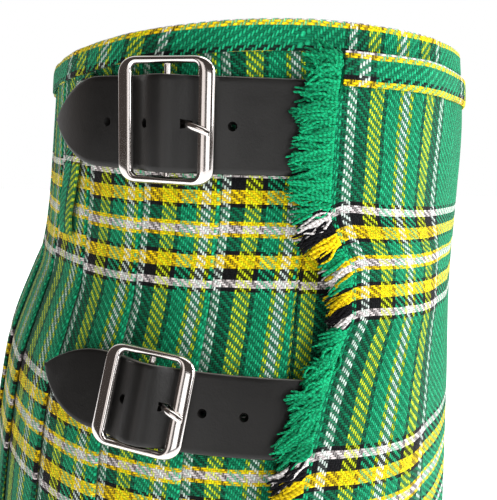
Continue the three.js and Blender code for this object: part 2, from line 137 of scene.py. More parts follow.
# The form as a grid: one row a millimetre, and each row cut into equal lengths round the body.
LEVEL_TOP = 14
LEVEL_BOTTOM = -620
LEVELS = np.arange(LEVEL_TOP, LEVEL_BOTTOM - 1, -1, dtype=float)
RING_PARTS = 1440


def form_grid():
    """The form's points, by height and share of the way round, and the length round each height."""
    angle = np.linspace(0, 2 * np.pi, RING_PARTS + 1)
    c, s = np.cos(angle), np.sin(angle)
    power = 2 / FORM_POWER
    around = np.empty((len(LEVELS), RING_PARTS + 1, 2))
    lengths = np.empty(len(LEVELS))
    for row, z in enumerate(LEVELS):
        depth = np.where(s > 0, front_depth(z), back_depth(z))
        x = -half_width(z) * np.sign(c) * np.abs(c) ** power
        y = -depth * np.sign(s) * np.abs(s) ** power
        run = np.concatenate([[0], np.cumsum(np.hypot(np.diff(x), np.diff(y)))])
        lengths[row] = run[-1]
        even = np.linspace(0, run[-1], RING_PARTS + 1)
        around[row, :, 0] = np.interp(even, run, x)
        around[row, :, 1] = np.interp(even, run, y)
    return around, lengths


GRID, RING_LENGTH = form_grid()


def perimeter(z):
    return np.interp(-np.asarray(z, dtype=float), -LEVELS, RING_LENGTH)


def on_form(fraction, z):
    """Points of the form at a fraction of the way round and a height."""
    fraction, z = np.broadcast_arrays(np.asarray(fraction, float), np.asarray(z, float))
    level = np.clip(LEVEL_TOP - z, 0, len(LEVELS) - 1.001)
    part = np.mod(fraction, 1.0) * RING_PARTS
    row, col = level.astype(int), np.minimum(part.astype(int), RING_PARTS - 1)
    v, u = (level - row)[..., None], (part - col)[..., None]
    flat = ((GRID[row, col] * (1 - u) + GRID[row, col + 1] * u) * (1 - v)
            + (GRID[row + 1, col] * (1 - u) + GRID[row + 1, col + 1] * u) * v)
    return np.concatenate([flat, z[..., None]], axis=-1)


NORMAL_REACH = 4.0


def place(s, z, rise):
    """The point in space of a place on the cloth."""
    s, z, rise = np.broadcast_arrays(*(np.asarray(a, float) for a in (s, z, rise)))
    whole = perimeter(z)
    fraction = s / whole
    reach = NORMAL_REACH / whole
    around = on_form(fraction + reach, z) - on_form(fraction - reach, z)
    up = on_form(fraction, z + NORMAL_REACH) - on_form(fraction, z - NORMAL_REACH)
    out = np.cross(around, up)
    out /= np.linalg.norm(out, axis=-1, keepdims=True)
    return on_form(fraction, z) + out * rise[..., None]


def waist_top(s):
    """The height of the waist's top edge, which dips to the front and to the back."""
    around = np.sin(2 * np.pi * np.asarray(s, float) / perimeter(0))
    dip = np.where(around > 0, WAIST_DIP_FRONT, WAIST_DIP_BACK)
    return -dip * np.abs(around) ** 1.5


def ripple(s, z, waves):
    """A sum of slow waves over the cloth: each is (height, length round, length down, phase)."""
    total = 0.0
    for height, along, down, phase in waves:
        total = total + height * np.sin(2 * np.pi * (s / along + z / down) + phase)
    return total


# ---------- making meshes ----------

def add_object(name, data):
    piece = bpy.data.objects.new(name, data)
    bpy.context.scene.collection.objects.link(piece)
    return piece


def make_object(name, points, faces, uv=None, materials=(), face_slots=None, sharp=45):
    """A smooth mesh, from points in millimetres, with edges sharper than an angle left sharp."""
    mesh = bpy.data.meshes.new(name)
    places = (np.asarray(points, float) * MM).tolist()
    mesh.from_pydata(places, [], [tuple(map(int, face)) for face in faces])
    if uv is not None:
        layer = mesh.uv_layers.new(name="weave")
        corner = np.empty(len(mesh.loops), dtype=np.int32)
        mesh.loops.foreach_get("vertex_index", corner)
        layer.data.foreach_set("uv", np.asarray(uv, float)[corner].ravel())
    for material in materials:
        mesh.materials.append(material)
    if face_slots is not None:
        mesh.polygons.foreach_set("material_index", np.asarray(face_slots, dtype=np.int32))
    mesh.polygons.foreach_set("use_smooth", np.ones(len(mesh.polygons), dtype=bool))
    mesh.update()
    mesh.set_sharp_from_angle(angle=math.radians(sharp))
    return add_object(name, mesh)


def grid_faces(rows, columns, start=0, flip=False, closed=False):
    across = np.arange(columns if closed else columns - 1)
    r, c = np.meshgrid(np.arange(rows - 1), across, indexing="ij")
    a = start + r * columns + c
    b = start + r * columns + (c + 1) % columns
    e = start + (r + 1) * columns + (c + 1) % columns
    d = start + (r + 1) * columns + c
    quads = np.stack([a, d, e, b] if flip else [a, b, e, d], axis=-1)
    return quads.reshape(-1, 4)


def shell(name, outer, inner, uv, material, closed=False):
    """A wall of cloth between two grids of points, rows by columns, both with the same UVs."""
    rows, columns = outer.shape[:2]
    count = rows * columns
    points = np.concatenate([outer.reshape(-1, 3), inner.reshape(-1, 3)])
    faces = [grid_faces(rows, columns, 0, True, closed),
             grid_faces(rows, columns, count, False, closed)]

    def rim(ids, flip):
        a, b = np.asarray(ids[:-1]), np.asarray(ids[1:])
        order = [a, b, b + count, a + count] if flip else [b, a, a + count, b + count]
        faces.append(np.stack(order, axis=-1))
    top = list(range(columns)) + ([0] if closed else [])
    rim(top, True)
    rim([(rows - 1) * columns + c for c in top], False)
    if not closed:
        rim([r * columns for r in range(rows)], False)
        rim([r * columns + columns - 1 for r in range(rows)], True)
    both = np.concatenate([uv.reshape(-1, 2), uv.reshape(-1, 2)])
    return make_object(name, points, np.concatenate(faces), both, [material])


def cloth_uv(warp, weft):
    """UVs for the threads that cross at each point: one whole sett is one unit."""
    return np.stack(np.broadcast_arrays(warp, weft), axis=-1) / SETT_THREADS


def ribbon(path, thickness):
    """The two sides of ribbons along flat paths, given as (..., point, 2)."""
    way = np.empty_like(path)
    way[..., 1:-1, :] = path[..., 2:, :] - path[..., :-2, :]
    way[..., 0, :] = path[..., 1, :] - path[..., 0, :]
    way[..., -1, :] = path[..., -1, :] - path[..., -2, :]
    way /= np.linalg.norm(way, axis=-1, keepdims=True)
    across = np.stack([-way[..., 1], way[..., 0]], axis=-1) * thickness / 2
    return path + across, path - across


def belongs(piece, slot, *nodes):
    """Every piece rides on the one body and stands for its CAD nodes, which are hidden; slot is not used."""
    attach(piece, "root")
    if nodes:
        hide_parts(*nodes)
    return piece


# ---------- materials ----------

def srgb(red, green, blue):
    def linear(value):
        value /= 255
        return value / 12.92 if value <= 0.04045 else ((value + 0.055) / 1.055) ** 2.4
    return (linear(red), linear(green), linear(blue), 1.0)


# The weft lies lower in the cloth than the warp, and its green is painted darker: painted shade for the
# lower thread.
WARP_YARN = {
    "G": srgb(30, 172, 120),
    "Y": srgb(202, 218, 26),
    "W": srgb(206, 224, 215),
    "K": srgb(18, 20, 22),
}
WEFT_YARN = {
    "G": srgb(8, 112, 76),
    "Y": srgb(238, 204, 10),
    "W": srgb(218, 209, 209),
    "K": srgb(14, 14, 18),
}
FRINGE_YARNS = {
    "G": srgb(20, 158, 106),
    "Y": srgb(238, 208, 20),
    "W": srgb(224, 219, 218),
    "K": srgb(18, 18, 22),
}


class Graph:
    """A node tree, with short calls for the nodes that it needs."""

    def __init__(self, owner, output="ShaderNodeOutputMaterial"):
        self.owner = owner
        owner.use_nodes = True
        self.tree = owner.node_tree
        self.tree.nodes.clear()
        self.output = self.node(output)

    def node(self, kind, **settings):
        node = self.tree.nodes.new(kind)
        for key, value in settings.items():
            setattr(node, key, value)
        return node

    def feed(self, socket, value):
        if isinstance(value, bpy.types.NodeSocket):
            self.tree.links.new(value, socket)
        else:
            socket.default_value = value

    def fed(self, node, *values):
        """A node whose first sockets take these values."""
        for socket, value in zip(node.inputs, values):
            self.feed(socket, value)
        return node

    def math(self, operation, *values):
        return self.fed(self.node("ShaderNodeMath", operation=operation), *values).outputs[0]

    def product(self, first, *others):
        for value in others:
            first = self.math("MULTIPLY", first, value)
        return first

    def blend(self, factor, a, b, way="MIX"):
        node = self.node("ShaderNodeMix", data_type="RGBA", blend_type=way)
        self.feed(node.inputs[0], factor)
        self.feed(node.inputs[6], a)
        self.feed(node.inputs[7], b)
        return node.outputs[2]

    def either(self, factor, a, b):
        node = self.node("ShaderNodeMix", data_type="FLOAT")
        self.feed(node.inputs[0], factor)
        self.feed(node.inputs[2], a)
        self.feed(node.inputs[3], b)
        return node.outputs[0]

    def weave(self):
        """U and V of the cloth, as one vector."""
        return self.node("ShaderNodeUVMap", uv_map="weave").outputs[0]

    def spot(self):
        """The place on the object, in metres."""
        return self.node("ShaderNodeTexCoord").outputs["Object"]

    def split(self, vector):
        return self.fed(self.node("ShaderNodeSeparateXYZ"), vector).outputs

    def vector(self, *values):
        return self.fed(self.node("ShaderNodeCombineXYZ"), *values).outputs[0]

    def noise(self, vector, scale, detail=2.0, roughness=0.5):
        node = self.node("ShaderNodeTexNoise")
        self.feed(node.inputs["Vector"], vector)
        node.inputs["Scale"].default_value = scale
        node.inputs["Detail"].default_value = detail
        node.inputs["Roughness"].default_value = roughness
        return node

    def chance(self, *cell):
        """A value from 0 to 1 that is the same all over one cell."""
        node = self.node("ShaderNodeTexWhiteNoise", noise_dimensions="2D")
        self.feed(node.inputs["Vector"], self.vector(*cell))
        return node.outputs[0]

    def spread(self, value, low, high):
        """A 0 to 1 value brought to the range from low to high."""
        return self.math("MULTIPLY_ADD", value, high - low, low)

    def shaded(self, colour, light):
        return self.blend(1.0, colour, self.vector(light, light, light), "MULTIPLY")

    def bump(self, height, strength, distance, normal=None):
        node = self.node("ShaderNodeBump")
        node.inputs["Strength"].default_value = strength
        node.inputs["Distance"].default_value = distance
        self.feed(node.inputs["Height"], height)
        if normal is not None:
            self.feed(node.inputs["Normal"], normal)
        return node.outputs[0]

    def surface(self, **values):
        shader = self.node("ShaderNodeBsdfPrincipled")
        for key, value in values.items():
            self.feed(shader.inputs[key.replace("_", " ")], value)
        self.tree.links.new(shader.outputs[0], self.output.inputs[0])
        return self.owner


def material_graph(name):
    return Graph(bpy.data.materials.new(name))


def sett_ramp(graph, position, yarns):
    """The colour of the thread at a place in the sett."""
    node = graph.node("ShaderNodeValToRGB")
    ramp = node.color_ramp
    ramp.interpolation = "CONSTANT"
    thread = 0
    for i, (letter, count) in enumerate(SETT):
        stop = ramp.elements[0] if i == 0 else ramp.elements.new(thread / SETT_THREADS)
        stop.position = thread / SETT_THREADS
        stop.color = yarns[letter]
        thread += count
    ramp.elements.remove(ramp.elements[len(ramp.elements) - 1])
    graph.feed(node.inputs[0], position)
    return node.outputs[0]


# How far, in threads, the lines of the cloth wander from straight.
WANDER = 0.55
# A thread's height is partly its round section and partly its arch over the threads it crosses.
CROWN_SHARE = 0.55
ARCH_SHARE = 0.45


def tartan(name, way):
    """2/2 twill: way is -1 where the twill runs down to the right, and 1 where it runs up."""
    g = material_graph(name)
    weave = g.weave()
    spot = g.spot()
    across = g.split(weave)
    drift = g.fed(g.node("ShaderNodeSeparateColor"), g.noise(weave, 9.0).outputs["Color"]).outputs

    def threads(axis):
        counted = g.math("MULTIPLY", across[axis], SETT_THREADS)
        return g.math("ADD", counted, g.spread(drift[axis], -WANDER, WANDER))

    def colour_of(thread, yarns):
        middle = g.math("DIVIDE", g.math("ADD", thread, 0.5), SETT_THREADS)
        return sett_ramp(g, g.math("FRACT", middle), yarns)

    def off_middle(value):
        return g.math("MULTIPLY_ADD", g.math("FRACT", value), 2.0, -1.0)

    def relief(value, run, centre):
        off = off_middle(value)
        crown = g.math("SUBTRACT", 1.0, g.math("MULTIPLY", off, off))
        arch = g.math("COSINE", g.math("MULTIPLY", g.math("SUBTRACT", run, centre), math.pi / 2))
        return g.math("ADD", g.math("MULTIPLY", crown, CROWN_SHARE), g.math("MULTIPLY", arch, ARCH_SHARE))

    def flank(value, power, low, high):
        off = g.math("ABSOLUTE", off_middle(value))
        return g.spread(g.math("POWER", off, power), low, high)

    u, v = threads(0), threads(1)
    i, j = g.math("FLOOR", u), g.math("FLOOR", v)
    cell = g.math("FLOORED_MODULO", g.math("ADD", i, g.math("MULTIPLY", j, way)), 4.0)
    on_top = g.math("LESS_THAN", cell, 1.5)
    warp_run = g.math("ADD", i, g.math("MULTIPLY", v, way))
    weft_run = g.math("ADD", u, g.math("MULTIPLY", j, way))
    height = g.either(on_top, relief(v, weft_run, 3.0), relief(u, warp_run, 0.0 if way < 0 else 1.0))
    # Wool takes some colour from the thread that it crosses, most of all at its two flanks.
    warp_colour = colour_of(i, WARP_YARN)
    weft_colour = colour_of(j, WEFT_YARN)
    warp_seen = g.blend(flank(u, 1.7, 0.05, 1.0), warp_colour, weft_colour)
    weft_seen = g.blend(flank(v, 3.0, 0.02, 0.2), weft_colour, warp_colour)
    colour = g.blend(on_top, weft_seen, warp_seen)
    one_thread = g.chance(
        g.math("MULTIPLY", i, on_top), g.math("MULTIPLY", j, g.math("SUBTRACT", 1.0, on_top)))
    fleck = g.noise(spot, 1500.0, 2.0, 0.7).outputs[0]
    cloud = g.noise(spot, 32.0, 3.0).outputs[0]
    # The first factor paints shade into each thread's flanks and the gaps between threads; the others are
    # random tone from thread to thread and fleck to fleck.
    light = g.product(
        g.spread(g.math("MAXIMUM", height, 0.0), 0.30, 1.32), g.spread(one_thread, 0.88, 1.10),
        g.spread(g.chance(i, j), 0.72, 1.28), g.spread(fleck, 0.25, 1.75), g.spread(cloud, 0.84, 1.16))
    return g.surface(
        Base_Color=g.shaded(colour, light), Roughness=0.9, Specular_IOR_Level=0.12,
        Normal=g.bump(height, 0.75, 0.00035, g.bump(fleck, 0.25, 0.0003)),
        Sheen_Weight=0.08, Sheen_Roughness=0.45,
    )


# U runs along a strand's twist, and each whole SHADE_STEP in it makes the strand lighter: painted shade,
# darker for strands in the lower layers, with some random tone.
SHADE_STEP = 40.0
SHADES = 10


def fringe_yarn():
    """Twisted ends of the weft: V gives the yarn's colour, U its twist and its painted shade and tone."""
    g = material_graph("fringe_yarn")
    spot = g.spot()
    parts = g.split(g.weave())
    colour = sett_ramp(g, g.math("FRACT", parts[1]), FRINGE_YARNS)
    painted_shade_and_tone = g.math("FLOOR", g.math("DIVIDE", parts[0], SHADE_STEP))
    turn = g.math("ABSOLUTE", g.math("SINE", g.math("MULTIPLY", parts[0], math.pi)))
    fibre = g.noise(spot, 2200.0, 2.0, 0.7).outputs[0]
    clump = g.noise(spot, 140.0).outputs[0]
    # The twist paints shade into the grooves between the plies, and the painted shade by layer darkens the
    # lower strands; the fibre and clump noise is random tone.
    light = g.product(g.spread(turn, 0.66, 1.10), g.spread(fibre, 0.5, 1.5),
                      g.spread(clump, 0.75, 1.25), g.math("MULTIPLY_ADD", painted_shade_and_tone, 0.1, 0.42))
    return g.surface(
        Base_Color=g.shaded(colour, light), Roughness=0.92, Specular_IOR_Level=0.08,
        Normal=g.bump(turn, 0.8, 0.0004, g.bump(fibre, 0.3, 0.0003)),
        Sheen_Weight=0.05, Sheen_Roughness=0.5,
    )


def leather(name, colour, roughness, grain):
    g = material_graph(name)
    spot = g.spot()
    pores = g.node("ShaderNodeTexVoronoi", feature="F1")
    g.feed(pores.inputs["Vector"], spot)
    pores.inputs["Scale"].default_value = 1300.0
    creases = g.noise(spot, 420.0, 4.0, 0.6).outputs[0]
    scuff = g.noise(spot, 70.0, 3.0, 0.6).outputs[0]
    height = g.math("ADD", g.math("MULTIPLY", pores.outputs["Distance"], 0.5), creases)
    wear = g.math("ADD", g.math("MULTIPLY", scuff, 0.6), g.math("MULTIPLY", creases, 0.4))
    return g.surface(
        Base_Color=g.shaded(colour, g.spread(scuff, 0.75, 1.3)), Specular_IOR_Level=0.5,
        Roughness=g.spread(wear, roughness - 0.1, roughness + 0.14),
        Normal=g.bump(height, grain, 0.00012),
    )


def chrome():
    g = material_graph("chrome")
    spot = g.spot()
    polish = g.noise(spot, 260.0, 3.0, 0.6).outputs[0]
    wave = g.noise(spot, 90.0, 1.0).outputs[0]
    return g.surface(
        Base_Color=(0.80, 0.76, 0.74, 1.0), Metallic=1.0, Roughness=g.spread(polish, 0.07, 0.16),
        Normal=g.bump(wave, 0.06, 0.0006),
    )


CLOTH_DOWN = tartan("tartan_wool", -1)
CLOTH_UP = tartan("tartan_wool_bands", 1)
FRINGE_YARN = fringe_yarn()
LEATHER = leather("black_leather", srgb(16, 15, 14), 0.36, 0.35)
# Lighter leather for the strap's cut edges, which is their own colour, and for the bevel along its top edge,
# where it is a painted highlight.
LEATHER_EDGE_AND_HIGHLIGHT = leather("cut_edge_and_painted_highlight", srgb(104, 100, 96), 0.6, 0.6)
CHROME = chrome()


# ---------- pleats ----------

def pleat_edge(k, z):
    last = -perimeter(z) / 2 - LAST_PLEAT_PAST_HIP
    return first_pleat(z) + (last - first_pleat(z)) * k / PLEAT_COUNT


# Below this height the stitching that holds the pleats flat ends, and they hang free.
FELL_TOP = -88.0
FELL_BOTTOM = -108.0
FACE_STEPS = 24
TURN_STEPS = 10
# The thread at the edge where the pleats and the under apron begin.
FIRST_THREAD = 44.0
# Along a face, the place where it starts to dive under the next fold, and over how much of it.
DIVE_FROM = 0.985
DIVE_OVER = 0.015
# The thread where a pleat's face goes under the next one: part of the white group is hidden.
FACE_THREADS = 1.4
# Below the sewn part, the pleats from this one on hide some threads more under the next pleat.
HIDDEN_FROM = 3
HIDDEN_THREADS = column(np.array([(5, 0), (-85, 0), (-110, 3.2), (-612, 3.2)], float), 1)


def pleat_rows():
    fine = np.arange(-5.0, FINE_ABOVE, -3.5)
    return np.concatenate([[0.0], fine, np.linspace(FINE_ABOVE, HEM, 46)])


def pleat_sections(z):
    """The path of the cloth through every pleat at one height: (s, rise, thread) of each point."""
    opening = float(pleat_opening(z))
    free = float(smooth((FELL_TOP - z) / (FELL_TOP - FELL_BOTTOM)))
    soft = 0.9 + 0.5 * free

    def layer(n):
        return -CLOTH / 2 - n * PLEAT_LAYER * opening
    rows = [(float(pleat_edge(0, z)) + PLEAT_START, layer(2), FIRST_THREAD)]
    for k in range(PLEAT_COUNT):
        edge, after = float(pleat_edge(k, z)), float(pleat_edge(k + 1, z))
        width = edge - after
        turn = edge - PLEAT_UNDERLAP * width
        hidden = float(HIDDEN_THREADS(z)) if k >= HIDDEN_FROM else 0.0
        deep = FACE_THREADS + hidden + width / WARP_PITCH
        under = PLEAT_UNDERLAP * width / WARP_PITCH
        rows += [
            (turn + 1.0, layer(2), deep + 1.9 * under),
            (turn + 0.2, layer(1.8), deep + 1.8 * under),
            (turn + 0.2, layer(1.2), deep + under + 1),
            (turn + 1.0, layer(1), deep + under),
            (edge - width * 0.3, layer(1), deep + width * 0.3 / WARP_PITCH),
            (edge - soft, layer(1), deep + soft / WARP_PITCH),
            (edge - 0.3 * soft, layer(0.85), deep + 0.7),
            (edge, layer(0.5), deep),
            (edge - 0.3 * soft, layer(0.15), deep - 0.6),
        ]
        last = after - 0.15 + 0.65 * free
        for t in np.arange(FACE_STEPS + 1) / FACE_STEPS:
            s = edge - soft + (last - edge + soft) * t
            dive = max(0.0, (t - DIVE_FROM) / DIVE_OVER)
            bulge = 0.35 * math.sin(math.pi * min(1.0, t * 1.5)) * math.sin(0.021 * z + 1.9 * k)
            sewn_rise = layer(0.4 * t + 1.6 * dive)
            free_rise = layer(1.45 * t ** 1.4 + 0.25 * dive - bulge * 0.6)
            rows.append((s, sewn_rise + (free_rise - sewn_rise) * free, deep - (edge - s) / WARP_PITCH))
    return np.array(rows)


# A shallow crease runs round the pleats where the stitching ends.
CREASE = {"z": -99, "reach": 5, "depth": 0.55}


def pleated_back():
    """All the pleats, as one sheet of cloth."""
    heights = pleat_rows()
    sections = np.stack([pleat_sections(z) for z in heights])
    path = sections[..., :2]
    front, back = ribbon(path, PLEAT_CLOTH)
    z = np.repeat(heights[:, None], path.shape[1], axis=1)
    z[0] = waist_top(path[0, :, 0]) - PLEAT_TOP
    z[1:] = np.minimum(z[1:], z[0] - 0.8 - np.arange(len(heights) - 1)[:, None] * 0.5)
    pleat = np.floor((np.arange(path.shape[1]) - 1) / (TURN_STEPS + FACE_STEPS)).clip(0)
    off_row = 1.3 * np.sin(pleat * 2.4 + 0.8)
    uv = cloth_uv(sections[..., 2], SETT_CENTRE + (PLEAT_CENTRE_ROW - z + off_row * PITCH) / PITCH)
    crease = -CREASE["depth"] * np.exp(-((z - CREASE["z"]) / CREASE["reach"]) ** 2)
    outer, inner = (place(side[..., 0], z, side[..., 1] + crease) for side in (front, back))
    piece = shell("pleats", outer, inner, uv, CLOTH_DOWN)
    belongs(piece, "tartan_wool", "pleated_back")


# ---------- aprons ----------

# The straps beneath lift the over apron near its two edges: height, from, to, and where it fades.
LIFTS = {"right": (4.1, 30.0, 62.0, -160.0, -230.0), "left": (3.4, 26.0, 52.0, -60.0, -100.0)}


def apron_rise(s, z):
    def lift(side, from_edge):
        height, near, far, fade_top, fade_bottom = LIFTS[side]
        close = 1 - smooth((from_edge - near) / (far - near))
        return height * close * smooth((z - fade_bottom) / (fade_top - fade_bottom))
    right = lift("right", s - apron_edge(z))
    left = lift("left", perimeter(z) / 2 - s)
    return APRON_REST + np.maximum(right, left)


# How far a weft row sags where it meets the fringe, by height.
ROW_SAG = column(np.array([
    (5, 0), (-45, 0.5), (-64, 3.4), (-90, 1.6), (-130, 1.4), (-612, 1.0),
], float), 1)
ROW_SAG_REACH = 10.0
# The rows also run down a little towards the front: how much, and over what distance.
ROW_SLOPE = column(np.array([(5, 8.5), (-62, 8.5), (-84, 5.0), (-130, 4.0), (-612, 3.0)], float), 1)
ROW_SLOPE_REACH = 60.0
ROW_SLOPE_FROM = 5.0
# Where warp threads of the over apron lie from its fringed edge: distance, thread.
APRON_WARP = np.array([
    (0, -3.4), (5.6, 3), (14.6, 15), (26.6, 32), (39.4, 49), (51.0, 61), (600, 690),
], float)
FAN_SHARE = 0.45
# The warp bows with the fringed edge up to this distance from it, and then comes to hang straight.
BOW_REACH = 58.0
BOW_FADE = 60.0
STRAIGHT_EDGE = {"z": (HEM, 0.0), "s": (-18.0, 9.0)}
# No coloured rows show between the band and this thread, counted up from the first group.
GREEN_ABOVE = -55.4


def apron_threads(s, z):
    """The warp and weft threads that cross at a place on the over apron."""
    from_edge = s - apron_edge(z)
    wide = (perimeter(z) / 2 - apron_edge(z)) / (perimeter(-60) / 2 - apron_edge(-60))
    straight = np.interp(z, STRAIGHT_EDGE["z"], STRAIGHT_EDGE["s"]) - apron_edge(z)
    from_start = from_edge - straight * smooth((from_edge - BOW_REACH) / BOW_FADE)
    warp = np.interp(from_start / (1 + (wide - 1) * FAN_SHARE), APRON_WARP[:, 0], APRON_WARP[:, 1])
    sag = ROW_SAG(z) * np.clip(1 - from_edge / ROW_SAG_REACH, 0, 1.3) ** 2
    slope = ROW_SLOPE(z) * (1 - np.exp(-np.maximum(0, from_edge - ROW_SLOPE_FROM) / ROW_SLOPE_REACH))
    weft = SETT_CENTRE + (APRON_CENTRE_ROW - z - sag - slope) / PITCH
    return warp, np.maximum(weft, GREEN_ABOVE)


APRON_RIPPLES = ((0.22, 46, 190, 0.4), (0.16, 27, -130, 2.1), (0.3, 95, 420, 1.2))


def over_apron():
    """The apron that shows, from its fringed edge to the left hip."""
    fine = np.linspace(0, 130, 66)
    wide = np.concatenate([fine, np.linspace(134, 400, 54)]) / 400
    rows = np.concatenate([np.arange(-12.5, FINE_ABOVE, -2.4), np.linspace(FINE_ABOVE, HEM, 58)])
    z = np.repeat(rows[:, None], len(wide), axis=1)
    start = apron_edge(z)
    s = start + (perimeter(z) / 2 - start) * wide[None, :]
    top = waist_top(s[0]) - BAND_DEPTH - SEAM_GAP
    z = np.concatenate([top[None, :], np.minimum(z, top - 0.9 - 0.6 * np.arange(len(rows))[:, None])])
    s = np.concatenate([s[:1], s])
    calm = smooth((-22 - z) / 30)
    fray = 0.35 * np.exp(-((s - apron_edge(z)) / 3.0) ** 2) * np.sin(z * 1.1)
    rise = apron_rise(s, z) + calm * ripple(s, z, APRON_RIPPLES) + calm * fray
    uv = cloth_uv(*apron_threads(s, z))
    piece = shell("over_apron_cloth", place(s, z, rise + CLOTH), place(s, z, rise), uv, CLOTH_DOWN)
    return belongs(piece, "tartan_wool", "over_apron")


def under_apron():
    """The plain panel inside, from the right hip across the front."""
    across = np.linspace(0, 1, 61)
    rows = np.concatenate([[0.0], np.linspace(-20, HEM, 60)])
    z = np.repeat(rows[:, None], len(across), axis=1)
    start = first_pleat(z) + PLEAT_START + SEAM_GAP
    s = start + (perimeter(z) / 2 - UNDER_APRON_SHORT_OF_HIP - start) * across[None, :]
    z[0] = waist_top(s[0]) - PLEAT_TOP
    rise = -CLOTH / 2 + (-CLOTH / 2 - 2 * PLEAT_LAYER) * pleat_opening(z)
    uv = cloth_uv(FIRST_THREAD + (s - start) / WARP_PITCH, SETT_CENTRE + (PLEAT_CENTRE_ROW - z) / PITCH)
    outer, inner = place(s, z, rise + CLOTH * 0.9), place(s, z, rise)
    piece = shell("under_apron_cloth", outer, inner, uv, CLOTH_DOWN)
    belongs(piece, "tartan_wool", "under_apron")


# ---------- bands and belt loops ----------

# The bands are cut across the cloth: V runs down the band, from the thread at its top edge.
BAND_TOP_THREAD = 33.5
BAND_PITCH = 0.9
BAND_CROSS_AT = 11.8
BAND_CROSS_PITCH = {"front": 0.72, "back": 0.97}
APRON_BAND_TOP_THREAD = 32.9
APRON_BAND_PITCH = 0.75
APRON_BAND_CROSS_AT = -43.0
# The wavelength of a wave that doesn't change down the cloth.
NEVER = 1e9
BAND_POINTS = 400
# How far down the apron's band each of its rows of points lies.
APRON_BAND_ROWS = np.array([0, 0.25, 0.6, 1.6, 3.5, 5.5, 7.5, 9.5, 10.5, 10.85, 11.1])


def rounded(profile, rounds=2):
    """Cut the corners of an open profile, keeping its two ends."""
    points = np.asarray(profile, float)
    for _ in range(rounds):
        a, b = points[:-1], points[1:]
        cut = np.stack([a * 0.75 + b * 0.25, a * 0.25 + b * 0.75], axis=1).reshape(-1, 2)
        points = np.concatenate([points[:1], cut, points[-1:]])
    return points


def waistband():
    """The band that is folded over the top of the pleats and of the under apron."""
    def section(out, inn, bow, corner, low, top):
        """A folded band's side: front face, fold over the top, and back face."""
        return rounded([(out, -BAND_DEPTH), (out + bow, -BAND_DEPTH * 0.5), (out, low),
                        (out - corner, top), (inn + corner, top), (inn, low), (inn, -BAND_DEPTH)])
    outside = section(BAND_REST + CLOTH, BAND_INSIDE - CLOTH, 0.1, 1.4, -0.5, 0.25)
    inside = section(BAND_REST, BAND_INSIDE, 0.05, 0.8, -1.5, -0.95)
    s = np.arange(BAND_POINTS) * perimeter(0) / BAND_POINTS

    def grid(line):
        wave = ripple(s, 0, ((0.18, 37, NEVER, 0.3), (0.12, 17, NEVER, 1.7)))
        return place(s, waist_top(s) + line[:, 1:], line[:, :1] + wave)
    run = np.concatenate([[0], np.cumsum(np.hypot(*np.diff(outside, axis=0).T))])
    down = BAND_TOP_THREAD + (BAND_DEPTH - run) / BAND_PITCH
    signed = np.where(s > perimeter(0) / 2, s - perimeter(0), s)
    past = signed - BAND_CROSS_AT
    along = past / np.where(past > 0, BAND_CROSS_PITCH["front"], BAND_CROSS_PITCH["back"])
    uv = cloth_uv(along, down[:, None])
    piece = shell("waistband_cloth", grid(outside), grid(inside), uv, CLOTH_UP, closed=True)
    belongs(piece, "tartan_wool", "waistband")


def apron_band():
    """The band along the top of the over apron."""
    first = apron_edge(0) + APRON_BAND_START
    s = first + (perimeter(0) / 2 - first) * np.linspace(0, 1, 200)
    depth = APRON_BAND_ROWS[:, None]
    width = APRON_BAND_ROWS[-1]
    crown = -0.55 * np.exp(-np.minimum(depth, width - depth) / 0.35) + 0.15 * np.sin(np.pi * depth / width)
    z = waist_top(s) - (APRON_BAND_TOP + depth)
    rise = apron_rise(s, z) + CLOTH + SEAM_GAP
    rise = rise + ripple(s, 0, ((0.12, 31, NEVER, 0.9), (0.08, 13, NEVER, 0.1)))
    uv = cloth_uv(s - APRON_BAND_CROSS_AT, APRON_BAND_TOP_THREAD + depth / APRON_BAND_PITCH)
    outer, inner = place(s, z, rise + CLOTH + crown), place(s, z, rise)
    piece = shell("apron_band_cloth", outer, inner, uv, CLOTH_UP)
    belongs(piece, "tartan_wool", "apron_band")


LOOP_BEHIND_HIP = 91.0
LOOP_LEAN = 0.24
LOOP_WIDTH = 12.5
LOOP_BOTTOM = -81.0
LOOP_THICKNESS = 1.2
LOOP_REST = 0.5
LOOP_STAND = 1.2
LOOP_FIRST_THREAD = 35.0
# The weft thread that crosses the loop at each depth below the waist.
LOOP_CROSS = {"depth": (10, 19, 52, 81), "thread": (107, 120, 184, 225.4)}


def belt_loop(name, node, side):
    """A narrow loop of folded cloth: side is 1 on the right, and -1 for its mirror image."""
    down = np.linspace(0, 1, 60)[:, None]
    across = np.array([-1, -0.95, -0.82, -0.5, 0, 0.5, 0.82, 0.95, 1]) * LOOP_WIDTH / 2
    top = waist_top(across - LOOP_BEHIND_HIP) - BAND_DEPTH - SEAM_GAP
    z = top + (LOOP_BOTTOM - top) * down
    s = across - LOOP_BEHIND_HIP + LOOP_LEAN * (z - top)
    stand = LOOP_STAND * np.minimum(1, 3 * np.sin(np.pi * down))
    rise = LOOP_REST + stand + ripple(s, z, ((0.15, 60, 31, 0.5),))
    crown = -0.45 * np.exp(-(LOOP_WIDTH / 2 - np.abs(across)) / 0.5)
    uv = cloth_uv(LOOP_FIRST_THREAD + (across + LOOP_WIDTH / 2) / WARP_PITCH,
                  np.interp(-z, LOOP_CROSS["depth"], LOOP_CROSS["thread"]))
    outer, inner = place(s, z, rise + LOOP_THICKNESS + crown), place(s, z, rise)
    if side < 0:
        outer, inner, uv = (grid[:, ::-1].copy() for grid in (outer, inner, uv))
        outer[..., 0] *= -1
        inner[..., 0] *= -1
    piece = shell(name, outer, inner, uv, CLOTH_UP)
    belongs(piece, "tartan_wool", node)


# ---------- fringe ----------

